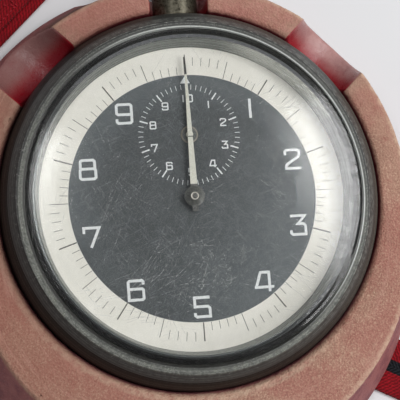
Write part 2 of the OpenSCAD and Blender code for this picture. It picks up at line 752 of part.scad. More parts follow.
module balance_cock() {
    color(nickel) difference() {
        union() {
            translate([0, 0, bridge_z]) linear_extrude(height = cock_t) {
                translate(balance_at) circle(r = 1.7, $fn = round_fn);
                polygon([at_angle(balance_at, 1.6, cock_angle + 70), at_angle(balance_at, 1.6, cock_angle - 70),
                    foot_out_r * [cos(cock_angle - 9), sin(cock_angle - 9)],
                    foot_out_r * [cos(cock_angle), sin(cock_angle)],
                    foot_out_r * [cos(cock_angle + 9), sin(cock_angle + 9)]]);
            }
            translate([0, 0, bridge_z]) linear_extrude(height = plate_z - bridge_z - 0.03)
                sector(foot_in_r, foot_out_r, cock_angle - 9, cock_angle + 9);
        }
        translate([0, 0, bridge_z - 1]) linear_extrude(height = 8) {
            holes_at(polar_places([cock_angle], bridge_screw_r), screw_shank_r + 0.02);
            holes_at([balance_at], jewel_r + 0.02);
        }
    }
}

module movement_screws() {
    color(steel) {
        for (p = polar_places([each barrel_screw_angles, each train_screw_angles, left_screw_angle,
            cock_angle], bridge_screw_r)) translate([p[0], p[1], bridge_z])
            slotted_screw(0.85, plate_z - bridge_z + 1.2);
        for (p = pallet_feet) translate([p[0], p[1], pallet_bridge_z])
            slotted_screw(0.75, plate_z - pallet_bridge_z + 1.2);
    }
}

// A jewel bearing, its lower face at z
module jewel(place, z, hole_r) {
    translate([place[0], place[1], z]) linear_extrude(height = jewel_t) difference() {
        circle(r = jewel_r, $fn = round_fn / 2);
        circle(r = hole_r, $fn = round_fn / 2);
    }
}

module plate_jewels() {
    color(ruby) {
        for (p = plate_jewel_places) jewel(p, plate_z, pivot_r + run_fit);
        jewel(sweep_at, plate_z, work_arbor_r + run_fit);
    }
}

module bridge_jewels() {
    color(ruby) {
        for (p = train_places) jewel(p, bridge_top - jewel_t, pivot_r + run_fit);
        jewel(balance_at, bridge_z, pivot_r + run_fit);
    }
}

movement_ring();
main_plate();
barrel_bridge();
train_bridge();
pallet_bridge();
balance_cock();
movement_screws();
case_screws();
plate_jewels();
bridge_jewels();

// ---- Barrel and winding ----
barrel_r = 6.9;
barrel_wall = 0.5;
flange_h = 0.6;

// A many-sided flat ring hole of inner radius r, drawn as a polygon
module facet_circle(r, n) {
    polygon([for (i = [0:n - 1]) r / cos(180 / n) * [cos(360 * i / n), sin(360 * i / n)]]);
}

module going_barrel() {
    color(brass) translate([barrel_at[0], barrel_at[1], 0]) {
        translate([0, 0, barrel_top - flange_h]) linear_extrude(height = flange_h) difference() {
            gear_outline(barrel_n, barrel_module, barrel_phase, 0.95, 1.25, 0.92);
            facet_circle(barrel_r + 0.015, 60);
        }
        difference() {
            translate([0, 0, barrel_z]) cylinder(r = barrel_r, h = barrel_h, $fn = round_fn * 2);
            translate([0, 0, barrel_z - 1]) cylinder(r = barrel_r - barrel_wall, h = barrel_h + 0.55,
                $fn = round_fn * 2);
            cylinder(r = 0.8 + run_fit, h = 20, $fn = round_fn / 2);
        }
    }
}

module barrel_cover() {
    color(brass) translate([barrel_at[0], barrel_at[1], barrel_z]) linear_extrude(height = 0.3)
        difference() {
            circle(r = barrel_r - barrel_wall - 0.02, $fn = round_fn * 2);
            circle(r = 0.8 + run_fit, $fn = round_fn / 2);
        }
}

// A flat spiral strip from r0 to r1, of width w
module spiral_strip(r0, r1, turns, steps, w) {
    count = turns * steps;
    polygon([for (i = [0:count]) (r0 + (r1 - r0) * i / count) * [cos(360 * i / steps), sin(360 * i / steps)],
        for (i = [count:-1:0]) (r0 + w + (r1 - r0) * i / count)
            * [cos(360 * i / steps), sin(360 * i / steps)]]);
}

module mainspring() {
    color(blued) translate([barrel_at[0], barrel_at[1], barrel_z + 0.4])
        linear_extrude(height = barrel_h - 0.9)
            spiral_strip(1.26, barrel_r - barrel_wall - 0.2, 9, 20, 0.16);
}

module barrel_arbor() {
    color(steel) translate([barrel_at[0], barrel_at[1], 0]) {
        translate([0, 0, bridge_z + 0.1]) cylinder(r = 0.8, h = plate_top - bridge_z - 0.3, $fn = round_fn / 2);
        translate([0, 0, barrel_z + 0.4]) cylinder(r = 1.2, h = barrel_h - 0.9, $fn = round_fn / 2);
    }
}

module ratchet_wheel() {
    color(steel) translate([barrel_at[0], barrel_at[1], winding_z]) linear_extrude(height = winding_t)
        difference() {
            gear_outline(ratchet_n, winding_module, ratchet_phase, 0.95, 1.25, 0.92);
            arbor_hole(0.8);
        }
}

crown_wheel_t = winding_t + 0.25;

module crown_wheel() {
    color(steel) translate([crown_wheel_at[0], crown_wheel_at[1], winding_z])
        linear_extrude(height = crown_wheel_t) difference() {
            gear_outline(crown_wheel_n, winding_module, crown_wheel_phase, 0.95, 1.25, 0.92);
            arbor_hole(0.6);
        }
}

module crown_wheel_screw() {
    color(steel) translate([crown_wheel_at[0], crown_wheel_at[1], 0]) {
        difference() {
            translate([0, 0, winding_z + crown_wheel_t + 0.05]) cylinder(r = 1.2, h = 0.4, $fn = round_fn / 2);
            translate([-1.3, -0.15, winding_z + crown_wheel_t + 0.25]) cube([2.6, 0.3, 1]);
        }
        translate([0, 0, bridge_z + 0.1]) cylinder(r = 0.6, h = winding_z + crown_wheel_t - bridge_z,
            $fn = round_fn / 2);
    }
}

pinion_y = crown_wheel_at[1] + pitch_r(crown_wheel_n, winding_module) - 1.25 * winding_module + 0.05;
pinion_head = 1.6;

module winding_pinion() {
    side = square_side + 0.06;
    color(steel) difference() {
        union() {
            on_stem(pinion_y) linear_extrude(height = pinion_head)
                gear_outline(stem_pinion_n, winding_module, 90, 0.95, 1.25, 0.86);
            on_stem(pinion_y + pinion_head - 0.1)
                cylinder(r = pinion_hub_r, h = bearing_y + bearing_len + 0.1 - pinion_y - pinion_head,
                    $fn = round_fn / 2);
        }
        translate([-side / 2, pinion_y - 1, stem_z - side / 2]) cube([side, 9, side]);
    }
}

click_at = at_angle(barrel_at, pitch_r(ratchet_n, winding_module) + 1.25, 62);

module click_spring() {
    color(steel) translate([click_at[0], click_at[1], bridge_top + 0.03]) {
        linear_extrude(height = winding_t + 0.07) difference() {
            union() {
                circle(r = 0.65, $fn = round_fn / 2);
                rotate(-40) translate([0, -0.32]) square([2.1, 0.55]);
            }
            circle(r = 0.3, $fn = round_fn / 2);
        }
        linear_extrude(height = winding_t - 0.1) rotate(62) for (i = [0:6])
            rotate(-i * 6) translate([1.1, i == 0 ? -0.4 : -1.1]) square([0.25, 1.2]);
    }
}

going_barrel();
barrel_cover();
mainspring();
barrel_arbor();
ratchet_wheel();
crown_wheel();
crown_wheel_screw();
winding_pinion();
click_spring();

// ---- Going train ----
arbor_low = bridge_top + 0.05;
arbor_high = plate_z - 0.05;
pivot_low = bridge_top - 0.5;
pivot_high = plate_z + 0.5;

// A train arbor between the bridge's jewels and the plate's
module train_arbor(r) {
    arbor(r, arbor_low, arbor_high, pivot_r, pivot_low, pivot_high);
}

module centre_wheel() {
    color(brass) translate(centre_at)
        train_wheel(centre_n, centre_module, centre_phase, centre_z, train_t, train_arbor_r, 5);
}

module centre_pinion() {
    color(steel) translate(centre_at) {
        leaf_pinion(centre_pinion_n, barrel_module,
            mesh_phase(barrel_phase, barrel_n, angle_to(barrel_at, centre_at), centre_pinion_n),
            barrel_top - flange_h - 0.1, 0.8, train_arbor_r);
        train_arbor(train_arbor_r);
    }
}

third_z = barrel_z + 0.5;

module third_wheel() {
    color(brass) translate(third_at)
        train_wheel(third_n, third_module, third_phase, third_z, 0.3, train_arbor_r, 4);
}

module third_pinion() {
    color(steel) translate(third_at) {
        leaf_pinion(third_pinion_n, centre_module,
            mesh_phase(centre_phase, centre_n, angle_to(centre_at, third_at), third_pinion_n),
            centre_z - 0.08, train_t + 0.16, train_arbor_r);
        train_arbor(train_arbor_r);
    }
}

sweep_z = third_z + 0.6;

module sweep_wheel() {
    color(brass) train_wheel(sweep_n, sweep_module, 0, sweep_z, 0.3, train_arbor_r, 4);
}

drive_z = plate_top + 0.3;

module sweep_arbor() {
    color(steel) {
        leaf_pinion(sweep_pinion_n, third_module, 0, third_z - 0.15, 0.6, train_arbor_r);
        leaf_pinion(drive_pinion_n, drive_module, 0, drive_z, 0.6, work_arbor_r);
        train_arbor(train_arbor_r);
        translate([0, 0, arbor_high]) cylinder(r = work_arbor_r, h = hand_z + 0.35 - arbor_high,
            $fn = round_fn / 2);
    }
}

escape_z = barrel_z + 0.02;
escape_t = 0.25;

module escape_wheel() {
    step = 360 / escape_n;
    root_r = escape_r - 0.6;
    color(brass) translate([escape_at[0], escape_at[1], escape_z]) linear_extrude(height = escape_t)
        difference() {
            polygon([for (i = [0:escape_n - 1]) each [
                root_r * [cos(i * step), sin(i * step)],
                escape_r * [cos(i * step + 7), sin(i * step + 7)],
                escape_r * [cos(i * step + 9), sin(i * step + 9)],
                root_r * [cos(i * step + 12), sin(i * step + 12)]]]);
            arbor_hole(train_arbor_r);
            for (i = [0:3]) rotate(45 + i * 90)
                sector(train_arbor_r + 0.45, root_r - 0.35, 14, 76);
        }
}

module escape_pinion() {
    color(steel) translate(escape_at) {
        leaf_pinion(escape_pinion_n, sweep_module, escape_phase, sweep_z - 0.2, 0.7, train_arbor_r);
        train_arbor(train_arbor_r);
    }
}

// ---- Lever and balance: drawn along the line from the escape wheel to the balance ----
stone_angle = 31;
stone_w = 0.3;
fork_in_r = escape_r + pallet_gap - 0.25;
fork_out_r = fork_in_r + 0.8;
fork_t = 0.3;

module stones(grow) {
    for (side = [-1, 1]) rotate(side * stone_angle)
        translate([escape_r + 0.16, -stone_w / 2 - grow]) square([0.78 + grow, stone_w + 2 * grow]);
}

module pallet_fork() {
    tip = escape_r + pallet_gap + lever_len;
    color(steel) translate(escape_at) rotate(lever_line) {
        translate([0, 0, escape_z]) linear_extrude(height = fork_t) difference() {
            union() {
                sector(fork_in_r, fork_out_r, -40, 40);
                translate([escape_r + pallet_gap, 0]) circle(r = 0.45, $fn = round_fn / 2);
                polygon([[fork_in_r + 0.2, -0.28], [tip - 0.6, -0.16], [tip - 0.4, -0.5], [tip, -0.5],
                    [tip, -0.22], [tip - 0.35, -0.22], [tip - 0.35, 0.22], [tip, 0.22], [tip, 0.5],
                    [tip - 0.4, 0.5], [tip - 0.6, 0.16], [fork_in_r + 0.2, 0.28]]);
            }
            stones(0.01);
            translate([escape_r + pallet_gap, 0]) circle(r = 0.21, $fn = round_fn / 2);
        }
        translate([escape_r + pallet_gap, 0, 0]) {
            translate([0, 0, pallet_bridge_z + 0.48])
                cylinder(r = 0.2, h = arbor_high - pallet_bridge_z - 0.48, $fn = round_fn / 2);
            translate([0, 0, pallet_bridge_z])
                cylinder(r = pivot_r, h = pivot_high - pallet_bridge_z, $fn = round_fn / 2);
        }
    }
}

module pallet_stones() {
    color(ruby) translate([escape_at[0], escape_at[1], escape_z - 0.05]) rotate(lever_line)
        linear_extrude(height = fork_t + 0.1) stones(0);
}

balance_z = winding_z;
balance_t = 0.4;
staff_r = 0.3;
roller_z = balance_z + 0.8;

module balance_wheel() {
    color(brass) translate([balance_at[0], balance_at[1], balance_z]) linear_extrude(height = balance_t)
        difference() {
            circle(r = balance_r, $fn = round_fn * 2);
            for (i = [0:2]) rotate(lever_line + 60 + i * 120)
                sector(1, balance_r - 0.6, 12, 108);
            circle(r = staff_r + 0.01, $fn = round_fn / 2);
        }
}

module balance_staff() {
    color(steel) translate(balance_at) {
        arbor(staff_r, bridge_z + cock_t + 0.05, arbor_high, pivot_r, bridge_z + 0.05, pivot_high);
        translate([0, 0, roller_z]) linear_extrude(height = 0.3) difference() {
            circle(r = roller_r, $fn = round_fn / 2);
            circle(r = staff_r + 0.01, $fn = round_fn / 2);
        }
        rotate(lever_line + 180) translate([roller_r - 0.2, 0, roller_z + 0.25])
            cylinder(r = 0.12, h = 0.2, $fn = round_fn / 4);
    }
}

module hairspring() {
    color(blued) translate([balance_at[0], balance_at[1], bridge_z + cock_t + 0.1])
        rotate(cock_angle) linear_extrude(height = 0.25) {
            spiral_strip(0.42, 3.5, 8, 24, 0.08);
            translate([3.45, -0.2]) square([0.4, 0.4]);
        }
}

centre_wheel();
centre_pinion();
third_wheel();
third_pinion();
sweep_wheel();
sweep_arbor();
escape_wheel();
escape_pinion();
pallet_fork();
pallet_stones();
balance_wheel();
balance_staff();
hairspring();

// ---- Dial-side work: register train, hearts, hammer, column wheel, slide and brake ----
heart_min = 0.6;
heart_max = 1.5;
heart_z = hammer_z - 0.05;
intermediate_z = drive_z + 0.1;
register_z = hammer_z - 0.4;
work_bridge_z = hammer_z + 0.25;
foot_at = intermediate_at + [5.6, 0];

// A heart cam whose lowest point faces -X
module heart(place) {
    translate([place[0], place[1], heart_z]) linear_extrude(height = 0.5) difference() {
        polygon([for (i = [0:29]) let (a = i * 12, r = heart_max
            - (heart_max - heart_min) * (1 - abs(180 - a) / 180)) r * [cos(a), sin(a)]]);
        arbor_hole(work_arbor_r);
    }
}

module sweep_heart() {
    color(steel) heart(sweep_at);
}

module register_heart() {
    color(steel) heart(register_at);
}

module intermediate_wheel() {
    color(brass) translate(intermediate_at) {
        train_wheel(intermediate_n, drive_module, intermediate_phase, intermediate_z, 0.25,
            work_arbor_r, 4);
        leaf_pinion(intermediate_pinion_n, register_module, intermediate_phase,
            register_z - 0.15, 0.6, work_arbor_r);
        arbor(work_arbor_r, plate_top + 0.05, work_bridge_z - 0.05, pivot_r, plate_top - 1,
            work_bridge_z + 0.35);
    }
}

module intermediate_bridge() {
    color(nickel) difference() {
        union() {
            translate([0, 0, work_bridge_z]) linear_extrude(height = 0.4) {
                translate(intermediate_at) circle(r = 0.8, $fn = round_fn / 2);
                translate(foot_at) circle(r = 0.8, $fn = round_fn / 2);
                translate(intermediate_at + [0, -0.5]) square([5.6, 1]);
            }
            translate([foot_at[0], foot_at[1], plate_top + 0.02])
                cylinder(r = 0.8, h = work_bridge_z - plate_top, $fn = round_fn / 2);
        }
        translate([intermediate_at[0], intermediate_at[1], plate_top])
            cylinder(r = pivot_r + run_fit, h = 5, $fn = round_fn / 2);
    }
}

module register_wheel() {
    color(brass) translate(register_at) {
        train_wheel(register_n, register_module, register_phase, register_z, 0.25, work_arbor_r, 4);
        arbor(work_arbor_r, plate_top + 0.05, register_hand_z + 0.35, pivot_r, plate_top - 1,
            register_hand_z);
    }
}

column_ratchet_r = 2.4;
column_r = 1.9;
column_z = plate_top + 0.15;

module column_wheel() {
    step = 360 / column_ratchet_n;
    color(steel) translate([column_at[0], column_at[1], column_z]) {
        linear_extrude(height = 0.4) difference() {
            polygon([for (i = [0:column_ratchet_n - 1]) each [
                column_ratchet_r * [cos(i * step), sin(i * step)],
                (column_ratchet_r - 0.45) * [cos(i * step + 3), sin(i * step + 3)]]]);
            arbor_hole(stud_r + 0.02);
        }
        linear_extrude(height = 1.65) for (i = [0:columns - 1])
            sector(1, column_r, 30 + 18 + i * 360 / columns, 30 + 42 + i * 360 / columns);
    }
}

module column_jumper() {
    color(steel) translate([column_at[0], column_at[1], plate_top + 0.05])
        linear_extrude(height = 0.4) {
            translate([-3.9, -2.9]) circle(r = 0.75, $fn = round_fn / 2);
            polygon([[-4.3, -2.9], [-3.55, 0.2], [-2.85, 1], [-2.5, 0.45], [-2.9, 0.2], [-3.4, -2.6]]);
        }
}

module reset_hammer() {
    at = hammer_at;
    pad_x = -heart_max - 1.25;
    register_pad_x = -heart_max - 0.42;
    beak_y = column_at[1] + column_r + 0.2;
    color(steel) translate([0, 0, hammer_z]) linear_extrude(height = hammer_t) difference() {
        union() {
            translate(at) circle(r = 1.05, $fn = round_fn / 2);
            polygon([[at[0] + 0.9, at[1]], [-3.5, register_at[1] + 1.2], [register_pad_x, register_at[1] + 1],
                [register_pad_x, register_at[1] - 1], [-3.6, register_at[1] - 1.4], [-3.9, 1.3],
                [pad_x, 1], [pad_x, -1], [-3.9, -1.3], [-4.9, 0.5], [at[0] - 0.9, at[1]]]);
            polygon([[at[0], at[1] + 1], [column_at[0] - 0.4, beak_y + 1], [column_at[0] - 0.25, beak_y],
                [column_at[0] + 0.25, beak_y], [column_at[0] + 0.6, beak_y + 0.35],
                [at[0] - 0.5, at[1] - 0.3]]);
        }
        translate(at) circle(r = stud_r + run_fit, $fn = round_fn / 2);
    }
}

brake_z = plate_top + 0.8;
brake_t = 0.5;
brake_pin_r = 0.35;

module brake_lever() {
    beak = at_angle(column_at, column_r + 0.2, -37);
    out = [cos(-34), sin(-34)];
    across = [-out[1], out[0]];
    color(steel) {
        translate([0, 0, brake_z]) linear_extrude(height = brake_t) difference() {
            union() {
                translate(brake_at) circle(r = 1, $fn = round_fn / 2);
                polygon([brake_at + [-0.5, 0.8], beak + [-1.1, -1.9], beak + out - 0.35 * across,
                    beak - 0.18 * across, beak + 0.18 * across, beak + 1.3 * out + 0.3 * across,
                    beak + [0.9, -2.1], brake_at + [0.5, -0.8]]);
                polygon([brake_at + [-0.9, 0], brake_pin_at + [-0.6, 0], brake_pin_at + [0, -0.6],
                    brake_pin_at + [0.6, 0], brake_at + [0.9, 0]]);
            }
            translate(brake_at) circle(r = stud_r + run_fit, $fn = round_fn / 2);
        }
        translate([brake_pin_at[0], brake_pin_at[1], balance_z - 0.1])
            cylinder(r = brake_pin_r, h = brake_z - balance_z + 0.2, $fn = round_fn / 2);
    }
}

slide_z = plate_top + 0.15;
slide_t = 0.5;

module actuating_slide() {
    finger_x = column_at[0] + column_ratchet_r + 0.15;
    color(steel) {
        translate([0, 0, slide_z]) linear_extrude(height = slide_t) difference() {
            union() {
                polygon([[finger_x, 19.4], [finger_x, 14.4], [finger_x + 0.7, 13.9], [finger_x + 0.75, 18],
                    [1.8, 18], [1.8, 19.4], [1.5, sleeve_y - seat], [-1.5, sleeve_y - seat], [-1.8, 19.4]]);
                for (p = guide_studs) translate([p[0] - 0.7, p[1] - 0.9]) square([1.4, 3.35]);
            }
            for (p = guide_studs) translate([p[0], p[1]]) {
                circle(r = 0.45, $fn = round_fn / 2);
                translate([-0.45, 0]) square([0.9, press_travel + 0.05]);
                translate([0, press_travel + 0.05]) circle(r = 0.45, $fn = round_fn / 2);
            }
        }
        translate([-1.5, sleeve_y - seat - 1, stem_z + 1]) cube([3, 1, slide_z + 0.1 - stem_z - 1]);
    }
}

sweep_heart();
register_heart();
intermediate_wheel();
intermediate_bridge();
register_wheel();
column_wheel();
column_jumper();
reset_hammer();
brake_lever();
actuating_slide();

// ---- Neck ribbon ----
// Points along the ribbon's middle line: from the bow's top, under the crown and the case, twice round
// the floor, over itself once, and back to the bow's left side
ribbon_z = ribbon_t / 2 + 0.05;
ribbon_route = [[1.4, bow_arc_y + 5.5, 4.1], [1, bow_arc_y + 1.7, 2], [0.9, 50, ribbon_z],
    [1.1, 45, ribbon_z], [2, 39, ribbon_z], [5.3, 32.5, ribbon_z], [9.3, 26, ribbon_z],
    [12, 18, ribbon_z], [13, 9, ribbon_z], [13, 0, ribbon_z], [13.3, -9, ribbon_z],
    [15.8, -16.5, ribbon_z], [20.4, -22.4, ribbon_z], [27, -26.7, ribbon_z], [35, -30.9, ribbon_z],
    [43, -35.3, ribbon_z], [51, -41.2, ribbon_z], [56.8, -49.5, ribbon_z], [59, -60, ribbon_z],
    [57, -71, ribbon_z], [50, -80.3, ribbon_z], [38.5, -86.5, ribbon_z], [23, -89.5, ribbon_z],
    [5, -90.2, ribbon_z], [-14, -87.5, ribbon_z], [-33, -81, ribbon_z], [-50.5, -70, ribbon_z],
    [-65, -54, ribbon_z], [-74.3, -34, ribbon_z], [-77.8, -12, ribbon_z], [-76, 10, ribbon_z],
    [-69.5, 31, ribbon_z], [-58.5, 50, ribbon_z], [-43, 65.3, ribbon_z], [-24, 74.8, ribbon_z],
    [-3, 78.2, ribbon_z], [18, 76, ribbon_z], [37, 68, ribbon_z], [52.5, 54.8, ribbon_z],
    [63, 38, ribbon_z], [68.3, 19, ribbon_z], [69.5, 0, ribbon_z], [68.5, -17, ribbon_z],
    [66.2, -29, 0.8], [62.8, -39, 1.35], [57.8, -49.2, 1.4], [51.2, -58.2, 1.35], [43.2, -65.6, 0.95],
    [32, -71.9, ribbon_z], [17.5, -75.6, ribbon_z], [2, -76.3, ribbon_z], [-14, -73.8, ribbon_z],
    [-30, -68, ribbon_z], [-44, -58.8, ribbon_z], [-54.3, -46.8, ribbon_z], [-61, -33, ribbon_z],
    [-63.6, -18.5, ribbon_z], [-62.2, -4, ribbon_z], [-57.6, 8.6, ribbon_z], [-50.5, 17.7, ribbon_z],
    [-42.4, 26.2, ribbon_z], [-34.3, 34.3, ribbon_z], [-26, 42.6, ribbon_z], [-22, 46.5, 1],
    [-17, bow_arc_y - 2.2, 2.8], [-11.9, bow_arc_y - 0.3, 4.3]];
ribbon_parts = 2;

function smooth(a, b, c, d, t) = ((2 * b) + (c - a) * t + (2 * a - 5 * b + 4 * c - d) * t * t
    + (3 * b - a - 3 * c + d) * t * t * t) / 2;
function route_at(p, i, t) = smooth(p[max(0, i - 1)], p[i], p[min(len(p) - 1, i + 1)],
    p[min(len(p) - 1, i + 2)], t);
ribbon_rings = [for (i = [0:len(ribbon_route) - 2]) for (k = [0:ribbon_parts - 1])
    route_at(ribbon_route, i, k / ribbon_parts), ribbon_route[len(ribbon_route) - 1]];
// The ribbon's section: across its width, and up
ribbon_section = [for (p = [[0.5, -0.2], [0.5, 0.2], [0.44, 0.5], [-0.44, 0.5], [-0.5, 0.2],
    [-0.5, -0.2], [-0.44, -0.5], [0.44, -0.5]]) [p[0] * ribbon_w, p[1] * ribbon_t]];

function flat_unit(v) = [v[0], v[1], 0] / norm([v[0], v[1]]);

module swept_strip(rings, section) {
    n = len(section);
    last = len(rings) - 1;
    polyhedron(
        points = [for (i = [0:last]) let (t = rings[min(last, i + 1)] - rings[max(0, i - 1)],
                u = flat_unit(t), across = [u[1], -u[0], 0], up = cross(across, t / norm(t)))
            for (p = section) rings[i] + across * p[0] + up * p[1]],
        faces = [[for (j = [0:n - 1]) j], [for (j = [n - 1:-1:0]) last * n + j],
            for (i = [0:last - 1]) for (j = [0:n - 1])
                let (k = (j + 1) % n, a = i * n, b = a + n)
                each [[a + k, a + j, b + j], [a + k, b + j, b + k]]]);
}

module lanyard_ribbon() {
    color(ribbon_red) swept_strip(ribbon_rings, ribbon_section);
}

loop_in_r = 2.1;
loop_w = 6;

// A sewn end loop round the bow's wire at the given angle of the bow's arc
module end_loop(angle) {
    translate([bow_half * cos(angle), bow_arc_y + bow_half * sin(angle), stem_z]) rotate(angle)
        rotate([90, 0, 0]) linear_extrude(height = loop_w, center = true) difference() {
            circle(r = loop_in_r + ribbon_t, $fn = round_fn / 2);
            circle(r = loop_in_r, $fn = round_fn / 2);
        }
}

module lanyard_end_loops() {
    color(ribbon_red) for (a = [82, 178]) end_loop(a);
}

lanyard_ribbon();
lanyard_end_loops();
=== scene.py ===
import math
import random

import bmesh
import bpy
from mathutils import Matrix, Vector, noise


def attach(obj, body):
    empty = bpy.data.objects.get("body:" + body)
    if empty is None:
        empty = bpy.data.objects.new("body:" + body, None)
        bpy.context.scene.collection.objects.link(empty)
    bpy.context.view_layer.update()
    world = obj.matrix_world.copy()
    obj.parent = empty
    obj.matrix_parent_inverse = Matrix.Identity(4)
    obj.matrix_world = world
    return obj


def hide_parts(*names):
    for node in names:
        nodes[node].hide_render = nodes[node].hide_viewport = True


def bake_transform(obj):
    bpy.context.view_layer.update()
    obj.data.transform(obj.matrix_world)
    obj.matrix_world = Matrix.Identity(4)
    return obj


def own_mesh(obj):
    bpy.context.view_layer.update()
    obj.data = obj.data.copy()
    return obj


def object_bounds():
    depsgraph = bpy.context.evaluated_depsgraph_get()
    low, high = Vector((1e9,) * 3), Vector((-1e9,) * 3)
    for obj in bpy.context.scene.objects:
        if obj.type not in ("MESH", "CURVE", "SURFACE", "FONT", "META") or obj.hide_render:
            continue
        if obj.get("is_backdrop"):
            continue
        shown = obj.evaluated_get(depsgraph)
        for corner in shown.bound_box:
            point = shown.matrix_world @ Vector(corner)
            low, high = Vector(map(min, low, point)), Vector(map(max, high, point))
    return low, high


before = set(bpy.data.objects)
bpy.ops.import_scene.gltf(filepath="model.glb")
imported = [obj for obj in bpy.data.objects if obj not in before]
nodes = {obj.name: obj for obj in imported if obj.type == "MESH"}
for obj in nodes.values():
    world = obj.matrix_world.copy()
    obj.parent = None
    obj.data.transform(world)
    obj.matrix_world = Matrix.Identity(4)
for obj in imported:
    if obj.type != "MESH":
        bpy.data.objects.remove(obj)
cad_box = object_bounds()
# Shapes are in millimetres, and MM turns them into metres; the camera and the lights are in metres
MM = 0.001
DIAL_TOP = 13.0
DOME_R = 27.25
REGISTER_Y = 10.6
# where the dark middle of the dial meets the cream scale
SCALE_R = 20.9
RIBBON_W, RIBBON_T = 10.0, 0.8
TWO_PI = 2 * math.pi

# ---- Camera: it looks down on the dial from the lower left ----
CAMERA_AT = Vector((-0.0258, -0.02369, 0.1912))
FORWARD = Vector((0.1476, 0.1273, -0.9808)).normalized()
UPWARD = Vector((0.0565, 0.989, 0.1368))
cam_data = bpy.data.cameras.new("Camera")
cam_data.sensor_fit = "HORIZONTAL"
cam_data.sensor_width = 36.0
cam_data.lens = 97.41
cam_data.clip_start = 0.01
cam_data.clip_end = 10.0
cam = bpy.data.objects.new("Camera", cam_data)
bpy.context.scene.collection.objects.link(cam)
right = FORWARD.cross(UPWARD).normalized()
turned = Matrix((right, right.cross(FORWARD), -FORWARD)).transposed()
cam.matrix_world = Matrix.Translation(CAMERA_AT) @ turned.to_4x4()
bpy.context.scene.camera = cam


